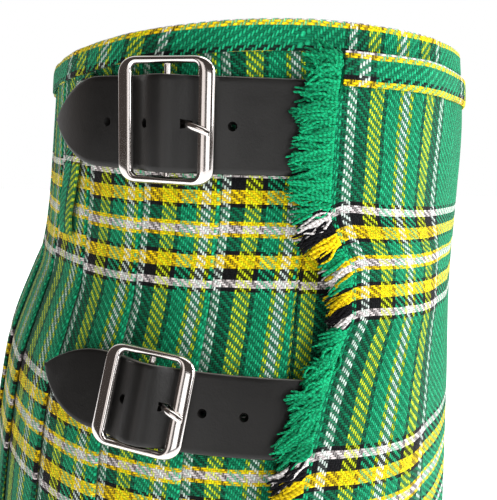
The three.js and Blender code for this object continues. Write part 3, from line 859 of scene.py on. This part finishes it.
# How steeply the strands droop, in degrees, and how far their tips sink, by height.
DROOP = column(np.array([
    (5, 10), (-25, 2), (-45, 4), (-58, 10), (-66, 24), (-74, 40), (-82, 48), (-92, 48), (-104, 40),
    (-112, 30), (-125, 28), (-145, 34), (-200, 30), (-612, 14),
], float), 1)
SINK = column(np.array([
    (5, 0), (-55, 0), (-66, 1.2), (-80, 2.8), (-100, 2.8), (-112, 1.0), (-122, 0), (-612, 0),
], float), 1)
STRAND_SPACING = 0.60
STRAND_SPACING_LOW = 1.45
STRANDS_THIN_BELOW = -200.0
STRAND_LAYERS = 4
STRAND_SIDES = 5
STRAND_STEPS = 8
STRAND_THICKNESS = 0.54
TWIST_LENGTH = 1.5
TUFT = 2.7
TUFT_LENGTHS = (0.84, 1.06)
TUFT_TURN = 7
TUFT_LIFT = 1.1
STRAND_LENGTHS = (0.8, 1.08)
STRAND_TURN = 7
STRAND_ROOT = 0.9
LAYER_RISE = 0.45
# Above this height the fringe is ruffled, and some strands lie up over the waistband.
RUFFLED_ABOVE = -30.0
RUFFLE_FADE = 12
RUFFLE_TURN = 26
RUFFLE_UP = 8


def strand_roots():
    """The height and the layer of each strand's root, layer by layer down the apron's edge."""
    roots = []
    for layer in range(STRAND_LAYERS):
        z = -BAND_DEPTH - 1.2 - dice.random() * STRAND_SPACING
        while z > HEM + 0.6:
            roots.append((z, layer))
            spacing = STRAND_SPACING if z > STRANDS_THIN_BELOW else STRAND_SPACING_LOW
            z -= spacing * dice.uniform(0.75, 1.25)
    return np.array(roots).T


def fringe():
    """The loose ends of the weft along the over apron's edge, in tufts and layers."""
    z0, layer = strand_roots()
    count = len(z0)
    tuft = np.floor(-z0 / TUFT + 0.3 * np.sin(z0 * 0.9)).astype(int)
    tufts = tuft.max() + 1
    tuft_length = dice.uniform(*TUFT_LENGTHS, tufts)[tuft]
    tuft_turn = dice.normal(0, TUFT_TURN, tufts)[tuft]
    tuft_lift = dice.uniform(0, TUFT_LIFT, tufts)[tuft]
    ruffle = smooth((z0 - RUFFLED_ABOVE) / RUFFLE_FADE)
    length = fringe_length(z0) * tuft_length * dice.uniform(*STRAND_LENGTHS, count)
    pull = -(tuft + 0.5) * TUFT - z0
    turn_down = DROOP(z0) + tuft_turn + dice.normal(0, STRAND_TURN, count)
    turn_down = turn_down + ruffle * (dice.normal(0, RUFFLE_TURN, count) - RUFFLE_UP)
    wave = np.abs(dice.normal(0, 0.42, count)) * (1 + ruffle)
    wave_count = dice.uniform(0.6, 1.5, count)
    phase = dice.uniform(0, 1, count)
    arch = dice.uniform(0.1, 1.5, count)
    thick = STRAND_THICKNESS * dice.uniform(0.82, 1.12, count)
    # Strands in the lower layers are made darker, as painted shade where the upper layers cover them, with
    # random tone on top.
    painted_shade_and_tone = np.clip(0.2 + 0.2 * layer + dice.normal(0, 0.2, count), 0, 0.99)
    # From here on each value is a column, so that a strand is a row of points.
    z0, layer, tuft_lift, length, pull, turn_down, wave, wave_count, phase, arch, thick, painted_shade_and_tone = (
        values[:, None] for values in (z0, layer, tuft_lift, length, pull, turn_down, wave,
                                       wave_count, phase, arch, thick, painted_shade_and_tone))
    t = np.linspace(0, 1, STRAND_STEPS)
    cycle = 2 * np.pi * (wave_count * t + phase)
    angle = np.radians(turn_down) * (0.55 + 0.7 * t) + wave * np.sin(cycle)

    def run(share):
        steps = share[:, 1:] * (length / (STRAND_STEPS - 1))
        return np.concatenate([np.zeros((count, 1)), np.cumsum(steps, axis=1)], axis=1)
    s = apron_edge(z0) + STRAND_ROOT - run(np.cos(angle))
    z = z0 - run(np.sin(angle)) + pull * 0.7 * t ** 1.4
    z = np.clip(z, HEM - 1.5, -BAND_DEPTH + 3.0)
    base = apron_rise(apron_edge(z0), z0) + 0.2 + LAYER_RISE * layer + tuft_lift * 0.5
    rise = base + arch * np.sin(np.pi * t) + 0.3 * np.cos(cycle) * t - SINK(z0) * t ** 1.3
    spine = place(s, z, rise)
    way = np.gradient(spine, axis=1)
    way /= np.linalg.norm(way, axis=-1, keepdims=True)
    side = np.cross(way, place(s, z, rise + 1.0) - spine)
    side /= np.linalg.norm(side, axis=-1, keepdims=True)
    out = np.cross(side, way)
    turn = 2 * np.pi * np.arange(STRAND_SIDES)[:, None] / STRAND_SIDES
    radius = (thick * (1 - 0.35 * t ** 4))[..., None, None]
    ring = spine[:, :, None] + radius * (np.cos(turn) * side[:, :, None] + np.sin(turn) * out[:, :, None])
    tip = spine[:, -1:] + way[:, -1:] * 0.5
    points = np.concatenate([ring.reshape(count, -1, 3), tip], axis=1)
    last = (STRAND_STEPS - 1) * STRAND_SIDES
    own = last + STRAND_SIDES + 1
    quads = grid_faces(STRAND_STEPS, STRAND_SIDES, 0, False, True)
    cap = np.array([(last + j, last + (j + 1) % STRAND_SIDES, own - 1) for j in range(STRAND_SIDES)])
    offset = (np.arange(count) * own)[:, None, None]
    faces = (quads + offset).reshape(-1, 4).tolist() + (cap + offset).reshape(-1, 3).tolist()
    row = np.floor(SETT_CENTRE + (APRON_CENTRE_ROW - z0 - ROW_SAG(z0)) / PITCH)
    v = (np.maximum(row, GREEN_ABOVE + 0.4) + 0.5) / SETT_THREADS
    light = np.floor(painted_shade_and_tone * SHADES) * SHADE_STEP + 1
    u = (light + t * length / TWIST_LENGTH)[:, :, None] + np.arange(STRAND_SIDES) / STRAND_SIDES
    uv = np.stack(np.broadcast_arrays(u, v[:, :, None]), axis=-1).reshape(count, -1, 2)
    uv_tip = np.stack([light + length / TWIST_LENGTH, v], axis=-1)
    uv = np.concatenate([uv, uv_tip], axis=1).reshape(-1, 2)
    piece = make_object("fringe_strands", points.reshape(-1, 3), faces, uv, [FRINGE_YARN], sharp=80)
    return belongs(piece, "fringe_yarn", "apron_fringe")


# ---------- straps and buckles ----------

LEATHER_THICKNESS = 2.6
STRAP_REST = {"fixed": 0.6, "bar": 2.2, "tip": 3.4}
UPPER_STRAP = dict(side=1, behind=45.9, z=-35.3, slope=0.0, width=32.0, fixed=68.0, tip=60.5,
                   frame=(36.0, 42.3, 5.8), holes=(-24.1, -6.4, 21.8))
STRAPS = {
    "upper": UPPER_STRAP,
    "lower": dict(side=1, behind=53.7, z=-131.5, slope=-0.06, width=27.4, fixed=76.0, tip=45.6,
                  frame=(34.0, 35.4, 5.8), holes=(-6.6, 20.1, 33.9)),
    "left": dict(UPPER_STRAP, side=-1),
}
# The length over which a strap comes down from its buckle to the cloth.
STRAP_EASE = 22.0
HOLE_RADIUS = 1.6
# Holes narrow by this share of their size for each millimetre towards the back of the leather.
HOLE_TAPER = 0.22
PUNCH_PAST = 0.8
# The angle, in degrees, above which an edge of leather or of metal stays sharp.
LEATHER_SHARP = 50
METAL_SHARP = 60
# The sides of a strap's section that take the lighter edge colour: the two cut edges of the leather, which
# are that colour, and the bevel along its top edge, where it is a painted highlight.
EDGE_AND_HIGHLIGHT_SIDES = (6, 7, 17)
PRONG_HOLE = {"at": 7.2, "length": 7.4, "width": 2.8, "up": 0.3}
PRONG_SLOT_WIDTH = 4.0
FRAME_PLANE = 6.1
FRAME_UP = 1.0
STRAP_CLEAR = 1.6
PRONG_DRIFT = 0.012
FRAME_THICKNESS = 2.6
FRAME_CORNER = 7.5
CENTRE_BAR = 1.3
CENTRE_BAR_PLANE = 4.0
TAB = {"thickness": 1.4, "width": 0.72, "sewn": -11.0, "slot": 0.6, "slot_length": 9.0}
PRONG_RADIUS = 0.8
STRAP_PEAK = CENTRE_BAR_PLANE + CENTRE_BAR + TAB["thickness"] + 3 * SEAM_GAP


def strap_rise(strap, along):
    bar = (strap["frame"][0] - strap["frame"][2]) / 2 - STRAP_CLEAR
    if abs(along) < bar:
        lift = 0.5 * (1 + math.cos(math.pi * along / bar))
        return STRAP_REST["bar"] + (STRAP_PEAK - STRAP_REST["bar"]) * lift
    rest = STRAP_REST["fixed"] if along > 0 else STRAP_REST["tip"]
    t = float(smooth((abs(along) - bar) / STRAP_EASE))
    return STRAP_REST["bar"] + (rest - STRAP_REST["bar"]) * t


def strap_half_width(strap, along):
    t = min(1.0, max(0.0, (along + strap["tip"]) / strap["width"]))
    return strap["width"] / 2 * math.sin(math.pi / 2 * t) ** 0.8


def strap_frame(strap, along):
    """The strap's directions at a place along it: x to its fixed end, y up, z outwards."""
    def at(distance, up=0.0):
        return Vector(place(distance - strap["behind"], strap["z"] + strap["slope"] * distance + up, 0.0))
    x = (at(along + NORMAL_REACH) - at(along - NORMAL_REACH)).normalized()
    out = x.cross(at(along, NORMAL_REACH) - at(along, -NORMAL_REACH)).normalized()
    matrix = Matrix((x, out.cross(x), out)).transposed().to_4x4()
    matrix.translation = at(along)
    return matrix


def sided(strap, points):
    """Points as an array, on the strap's own side of the body."""
    points = np.array(points, dtype=float)
    points[..., 0] *= strap["side"]
    return points


def end_caps(rows, columns, flip):
    """The two end faces of a tube of rings."""
    start = list(range(columns))
    end = [(rows - 1) * columns + c for c in start]
    return [start, end[::-1]] if flip else [start[::-1], end]


def strap_section(wide):
    half = LEATHER_THICKNESS / 2
    edge = min(0.55, wide * 0.5)
    return [
        (-wide, -half + edge), (-wide + edge, -half), (-wide * 0.5, -half), (0, -half),
        (wide * 0.5, -half), (wide - edge, -half), (wide, -half + edge), (wide, half - edge),
        (wide - edge * 0.35, half - edge * 0.3), (wide - edge, half), (wide * 0.9 - edge, half),
        (wide * 0.5, half + 0.05), (0, half + 0.08), (-wide * 0.5, half + 0.05),
        (-wide * 0.9 + edge, half), (-wide + edge, half), (-wide + edge * 0.35, half - edge * 0.3),
        (-wide, half - edge),
    ]


def strap_body(name, strap):
    """The leather of a strap, from its rounded tip to its sewn end."""
    round_end = strap["width"] * (1 - np.cos(np.linspace(0.07, math.pi / 2, 26))) - strap["tip"]
    straight = np.arange(strap["width"] - strap["tip"] + 1.5, strap["fixed"], 1.5)
    stations = sorted({round(float(along), 3) for along in round_end} | {*straight.tolist(), strap["fixed"]})
    rings = []
    for along in stations:
        matrix = strap_frame(strap, along)
        section = strap_section(max(0.8, strap_half_width(strap, along)))
        middle = strap_rise(strap, along) + LEATHER_THICKNESS / 2
        rings.append([matrix @ Vector((0, up, middle + rise)) for up, rise in section])
    rings = sided(strap, rings)
    rows, columns = rings.shape[:2]
    flip = strap["side"] > 0
    faces = grid_faces(rows, columns, 0, flip, True).tolist()
    slots = [int(i % columns in EDGE_AND_HIGHLIGHT_SIDES) for i in range(len(faces))] + [0, 0]
    faces += end_caps(rows, columns, flip)
    return make_object(f"strap_{name}_leather", rings.reshape(-1, 3), faces, None,
                       [LEATHER, LEATHER_EDGE_AND_HIGHLIGHT], slots, LEATHER_SHARP)


def prism(outline, matrix, side, low=-15.0, high=15.0, middle=0.0, taper=0.0):
    """A cutter: an outline in a strap's own plane, carried through the leather. The outline is
    full size at the height middle, and each millimetre below that takes the taper off it."""
    count = len(outline)
    points = []
    for height in (low, high):
        scale = 1 + taper * (height - middle)
        points += [matrix @ Vector((x * scale, y * scale, height)) for x, y in outline]
    faces = [[i, (i + 1) % count, count + (i + 1) % count, count + i] for i in range(count)]
    faces += [list(range(count))[::-1], list(range(count, 2 * count))]
    if side < 0:
        faces = [f[::-1] for f in faces]
    points = np.array(points)
    points[:, 0] *= side
    cutter = make_object("cutter", points, faces, None, [LEATHER], [0] * len(faces))
    outward(cutter)
    return cutter


def punched(strap, along, outline, up=0.0):
    """A cutter for one hole, which narrows towards the back of the leather."""
    back = strap_rise(strap, along)
    front = back + LEATHER_THICKNESS
    matrix = strap_frame(strap, along) @ Matrix.Translation((0, up, 0))
    return prism(outline, matrix, strap["side"], back - PUNCH_PAST, front + PUNCH_PAST, front, HOLE_TAPER)


def oblong(length, radius):
    half = max(0.0, length / 2 - radius)
    turns = [(half, a) for a in np.linspace(-90, 90, 13)] + [(-half, a) for a in np.linspace(90, 270, 13)]
    return [(x + radius * math.cos(math.radians(a)), radius * math.sin(math.radians(a))) for x, a in turns]


def turns(count):
    return np.linspace(0, 2 * math.pi, count, endpoint=False)


def circle(radius, count=24):
    return [(radius * math.cos(a), radius * math.sin(a)) for a in turns(count)]


def cut(piece, cutters):
    for tool in cutters:
        modifier = piece.modifiers.new("cut", "BOOLEAN")
        modifier.operation = "DIFFERENCE"
        modifier.solver = "EXACT"
        modifier.object = tool
    depsgraph = bpy.context.evaluated_depsgraph_get()
    result = bpy.data.meshes.new_from_object(piece.evaluated_get(depsgraph))
    piece.modifiers.clear()
    piece.data = result
    for tool in cutters:
        bpy.data.objects.remove(tool, do_unlink=True)
    piece.data.set_sharp_from_angle(angle=math.radians(LEATHER_SHARP))


def round_profile(profile, rounds=2):
    """Cut the corners of a closed profile."""
    points = np.asarray(profile, float)
    for _ in range(rounds):
        after = np.roll(points, -1, axis=0)
        cut_corners = [points * 0.75 + after * 0.25, points * 0.25 + after * 0.75]
        points = np.stack(cut_corners, axis=1).reshape(-1, 2)
    return points


def loft(name, rings, closed, side):
    """A chrome tube through rings of points: closed when the last ring meets the first."""
    rings = np.asarray(rings, float)
    if closed:
        rings = np.concatenate([rings, rings[:1]])
    rows, columns = rings.shape[:2]
    count = (rows - 1 if closed else rows) * columns
    faces = (grid_faces(rows, columns, 0, side < 0, True) % count).tolist()
    if not closed:
        faces += end_caps(rows, columns, side < 0)
    points = rings.reshape(-1, 3)[:count]
    piece = make_object(name, points, faces, None, [CHROME], None, METAL_SHARP)
    outward(piece)
    return piece


def outward(piece):
    """Make every face look outwards."""
    work = bmesh.new()
    work.from_mesh(piece.data)
    bmesh.ops.recalc_face_normals(work, faces=work.faces)
    work.to_mesh(piece.data)
    work.free()


def join(name, parts):
    """One object from several meshes that share their material."""
    work = bmesh.new()
    for part in parts:
        work.from_mesh(part.data)
    whole = parts[0]
    work.to_mesh(whole.data)
    work.free()
    for part in parts[1:]:
        bpy.data.objects.remove(part, do_unlink=True)
    whole.name = name
    return whole


def buckle_frame(name, strap, matrix):
    """The rounded frame, with the centre bar that the prong and the tab turn on."""
    width, height, bar = strap["frame"]
    half_x, half_y = (width - bar) / 2, (height - FRAME_THICKNESS) / 2
    corner = FRAME_CORNER - bar / 2
    # The two upright bars slope outwards, and the top and bottom bars are evenly domed.
    under = [(-1, -0.5), (-0.55, -1), (0.55, -1), (1, -0.5)]
    sloped = round_profile(under + [(1, -0.1), (0.76, 0.38), (0.2, 0.82), (-0.45, 1.06), (-0.85, 0.78),
                                    (-1, 0.1)])
    domed = round_profile(under + [(1, 0.1), (0.72, 0.72), (0.25, 1.02), (-0.25, 1.02), (-0.72, 0.72),
                                   (-1, 0.1)])
    rings = []
    for sx, sy, first in ((1, 1, 0), (-1, 1, 1), (-1, -1, 2), (1, -1, 3)):
        for t in np.linspace(0, 1, 11):
            angle = (first + t) * math.pi / 2
            wx, wy = math.cos(angle), math.sin(angle)
            cx = sx * (half_x - corner) + corner * wx
            cy = sy * (half_y - corner) + corner * wy
            half = FRAME_THICKNESS / 2 + (bar - FRAME_THICKNESS) / 2 * wx ** 2
            profile = sloped * wx ** 2 + domed * wy ** 2
            rings.append([matrix @ Vector((cx + wx * half * o, cy + wy * half * o,
                                           FRAME_PLANE + r * FRAME_THICKNESS / 2)) for o, r in profile])
    ring = loft("ring", sided(strap, rings), True, strap["side"])
    bar_rings = [[matrix @ Vector((CENTRE_BAR * math.cos(a), end * (half_y + 0.2),
                                   CENTRE_BAR_PLANE + CENTRE_BAR * math.sin(a))) for a in turns(20)]
                 for end in (-1, 1)]
    centre = loft("bar", sided(strap, bar_rings), False, strap["side"])
    return join(f"buckle_{name}_frame", [ring, centre])


def curve_through(points, per_span):
    """A smooth run of points through the given ones."""
    points = np.asarray(points, float)
    padded = np.concatenate([2 * points[:1] - points[1:2], points, 2 * points[-1:] - points[-2:-1]])
    out = []
    for i in range(len(points) - 1):
        p0, p1, p2, p3 = padded[i:i + 4]
        for t in np.arange(per_span) / per_span:
            out.append(0.5 * (2 * p1 + (p2 - p0) * t + (2 * p0 - 5 * p1 + 4 * p2 - p3) * t ** 2
                              + (3 * p1 - p0 - 3 * p2 + p3) * t ** 3))
    out.append(points[-1])
    return np.array(out)


def prong(name, strap, matrix):
    """The prong: a ring round the centre bar, and a shank that rests on the frame."""
    ring_radius = CENTRE_BAR + SEAM_GAP + PRONG_RADIUS
    rest = FRAME_PLANE + FRAME_THICKNESS / 2 + SEAM_GAP + PRONG_RADIUS
    reach = (strap["frame"][0] - strap["frame"][2]) / 2
    turned = [math.radians(-5 - 300 * i / 8) for i in range(8, 0, -1)]
    path = [(ring_radius * math.cos(a), CENTRE_BAR_PLANE + ring_radius * math.sin(a)) for a in turned]
    path += [(ring_radius + 0.9, CENTRE_BAR_PLANE + 0.3), (5.6, 5.0), (8.4, 6.9), (10.8, rest - 0.15),
             (reach - 1, rest), (reach + 2.2, rest - 0.25)]
    path = curve_through(path, 4)
    end = len(path) - 1
    rings = []
    for i, (x, y) in enumerate(path):
        way = path[min(i + 1, end)] - path[max(i - 1, 0)]
        way = way / np.hypot(*way)
        near_end = min(1.0, 0.75 + 0.25 * (end - i) / 2)
        thick = PRONG_RADIUS * near_end
        wide = PRONG_RADIUS * (1.6 if x > 5 else 1.05) * near_end
        drift = PRONG_DRIFT * max(0.0, x) ** 2
        rings.append([matrix @ Vector((x - way[1] * thick * math.cos(a), wide * math.sin(a) - drift,
                                       y + way[0] * thick * math.cos(a))) for a in turns(14)])
    return loft(f"buckle_{name}_prong", sided(strap, rings), False, strap["side"])


def buckle_tab(name, strap, matrix):
    """The leather tab that is sewn down behind the buckle, and folded round its centre bar."""
    half = TAB["width"] * strap["width"] / 2
    radius = CENTRE_BAR + SEAM_GAP + TAB["thickness"] / 2
    low = 0.5 + TAB["thickness"] / 2
    path = [(-24, low), (-18, low), (-12, low), (-7, low), (-3.2, low + 0.1)]
    path += [(radius * math.cos(math.radians(a)), CENTRE_BAR_PLANE + radius * math.sin(math.radians(a)))
             for a in np.linspace(-80, 95, 15)]
    path += [(-3.6, 5.0), (-7.4, 2.75)]
    front, back = ribbon(np.array(path), TAB["thickness"])
    ups = np.array([-1, -0.97, -0.9, -0.45, 0, 0.45, 0.9, 0.97, 1]) * half
    pinch = 0.4 * np.exp(-(half - np.abs(ups)) / 0.3)

    def grid(side_points, other):
        rows = []
        for up, p in zip(ups, pinch):
            row = []
            for (x, y), (ox, oy) in zip(side_points, other):
                x, y = x + (ox - x) * p * 0.5, y + (oy - y) * p * 0.5
                if x < TAB["sewn"]:
                    row.append(strap_frame(strap, x) @ Vector((0, up + FRAME_UP, y)))
                else:
                    row.append(matrix @ Vector((x, up, y)))
            rows.append(row)
        return sided(strap, rows)
    outer, inner = grid(front, back), grid(back, front)
    piece = shell(f"buckle_{name}_tab", outer, inner, np.zeros(outer.shape[:2] + (2,)), LEATHER)
    piece.data.materials.append(LEATHER_EDGE_AND_HIGHLIGHT)
    outward(piece)
    return piece


def strap_set(name):
    """One strap with its holes, and the tab, frame and prong of its buckle."""
    strap = STRAPS[name]
    matrix = strap_frame(strap, 0.0) @ Matrix.Translation((0, FRAME_UP, 0))
    body = strap_body(name, strap)
    outward(body)
    tools = [punched(strap, along, circle(HOLE_RADIUS)) for along in strap["holes"]]
    slot = oblong(PRONG_HOLE["length"], PRONG_HOLE["width"] / 2)
    tools.append(punched(strap, PRONG_HOLE["at"], slot, PRONG_HOLE["up"]))
    cut(body, tools)
    belongs(body, "black_leather", f"strap_{name}")
    tab = buckle_tab(name, strap, matrix)
    tab_slot = oblong(TAB["slot_length"], PRONG_SLOT_WIDTH / 2)
    cut(tab, [prism(tab_slot, strap_frame(strap, TAB["slot"]), strap["side"])])
    belongs(tab, "black_leather", f"buckle_tab_{name}")
    belongs(buckle_frame(name, strap, matrix), "chrome", f"buckle_frame_{name}")
    belongs(prong(name, strap, matrix), "chrome", f"buckle_prong_{name}")


# ---------- the kilt ----------

pleated_back()
under_apron()
apron = over_apron()
strands = fringe()
waistband()
apron_band()
belt_loop("belt_loop_right_cloth", "belt_loop_right", 1)
belt_loop("belt_loop_left_cloth", "belt_loop_left", -1)
for strap_name in STRAPS:
    strap_set(strap_name)

# ---------- studio ----------

FLOOR_LEVEL = -0.625
FLOOR_HALF = 5.0


def floor():
    mesh = bpy.data.meshes.new("floor")
    corners = ((-1, -1), (1, -1), (1, 1), (-1, 1))
    mesh.from_pydata([(x * FLOOR_HALF, y * FLOOR_HALF, FLOOR_LEVEL) for x, y in corners], [], [(0, 1, 2, 3)])
    g = material_graph("pale_floor")
    grey = g.spread(g.noise(g.spot(), 30.0, 3.0).outputs[0], 0.86, 0.92)
    mesh.materials.append(g.surface(
        Base_Color=g.vector(grey, grey, grey), Roughness=0.9, Specular_IOR_Level=0.0,
        Emission_Color=(1, 1, 1, 1), Emission_Strength=0.8))
    piece = add_object("floor", mesh)


def area_light(name, location, target, size, power, colour=(1, 1, 1)):
    lamp = bpy.data.lights.new(name, "AREA")
    lamp.shape = "RECTANGLE"
    lamp.size, lamp.size_y = size
    lamp.energy = power
    lamp.color = colour
    light = add_object(name, lamp)
    light.location = location
    light.rotation_euler = (Vector(target) - Vector(location)).to_track_quat("-Z", "Y").to_euler()


# The world is bright on this side, and dark on the other: place on the ramp, and colour.
BRIGHT_WAY = (0.78, -0.60, 0.15)
WORLD_RAMP = ((0.36, (0.06, 0.05, 0.045, 1)), (0.50, (0.20, 0.145, 0.12, 1)), (0.62, (1.0, 1.0, 1.0, 1)))


def studio_world():
    world = bpy.data.worlds.new("studio")
    bpy.context.scene.world = world
    g = Graph(world, "ShaderNodeOutputWorld")
    toward = g.node("ShaderNodeTexCoord").outputs["Generated"]
    facing = g.fed(g.node("ShaderNodeVectorMath", operation="DOT_PRODUCT"), toward, BRIGHT_WAY)
    ramp = g.node("ShaderNodeValToRGB")
    stops = ramp.color_ramp.elements
    for stop, (position, _) in zip(stops, (WORLD_RAMP[0], WORLD_RAMP[-1])):
        stop.position = position
    stops.new(WORLD_RAMP[1][0])
    for stop, (_, colour) in zip(stops, WORLD_RAMP):
        stop.color = colour
    g.fed(ramp, g.math("MULTIPLY_ADD", facing.outputs["Value"], 0.5, 0.5))
    sky = g.fed(g.node("ShaderNodeBackground"), ramp.outputs[0], 1.0)
    g.feed(g.output.inputs[0], sky.outputs[0])


CAMERA_PLACE = Vector((-353.2, 49.0, -35.4))
CAMERA_YAW = -8.72
CAMERA_PITCH = -11.6
CAMERA_ROLL = 1.86
CAMERA_LENS = 43.02


def camera():
    yaw, pitch, roll = (math.radians(a) for a in (CAMERA_YAW, CAMERA_PITCH, CAMERA_ROLL))
    ahead = Vector((math.cos(yaw) * math.cos(pitch), math.sin(yaw) * math.cos(pitch), math.sin(pitch)))
    level = Vector((math.sin(yaw), -math.cos(yaw), 0))
    upright = level.cross(ahead)
    right = level * math.cos(roll) + upright * math.sin(roll)
    up = -level * math.sin(roll) + upright * math.cos(roll)
    matrix = Matrix((right, up, -ahead)).transposed().to_4x4()
    matrix.translation = CAMERA_PLACE * MM
    lens = bpy.data.cameras.new("camera")
    lens.lens = CAMERA_LENS
    lens.sensor_width = 36.0
    lens.clip_start = 0.01
    view = add_object("camera", lens)
    view.matrix_world = matrix
    bpy.context.scene.camera = view


floor()
studio_world()
area_light("key", (-0.90, -1.25, 0.75), (0, 0, -0.2), (0.8, 0.8), 22.0)
area_light("front_fill", (-1.3, -0.72, 0.22), (0, 0, -0.13), (0.7, 0.5), 3.0)
area_light("back_fill", (-1.0, 0.72, 0.0), (0, 0, -0.08), (0.35, 0.9), 1.0, (1.0, 0.94, 0.91))
area_light("strap_fill", (-1.13, 0.26, -0.01), (-0.16, 0.01, -0.13), (0.3, 0.3), 0.5)
area_light("overhead", (-0.2, -0.4, 1.5), (0, 0, -0.2), (1.2, 1.2), 8.0)
camera()
bpy.context.scene.view_settings.view_transform = "Standard"
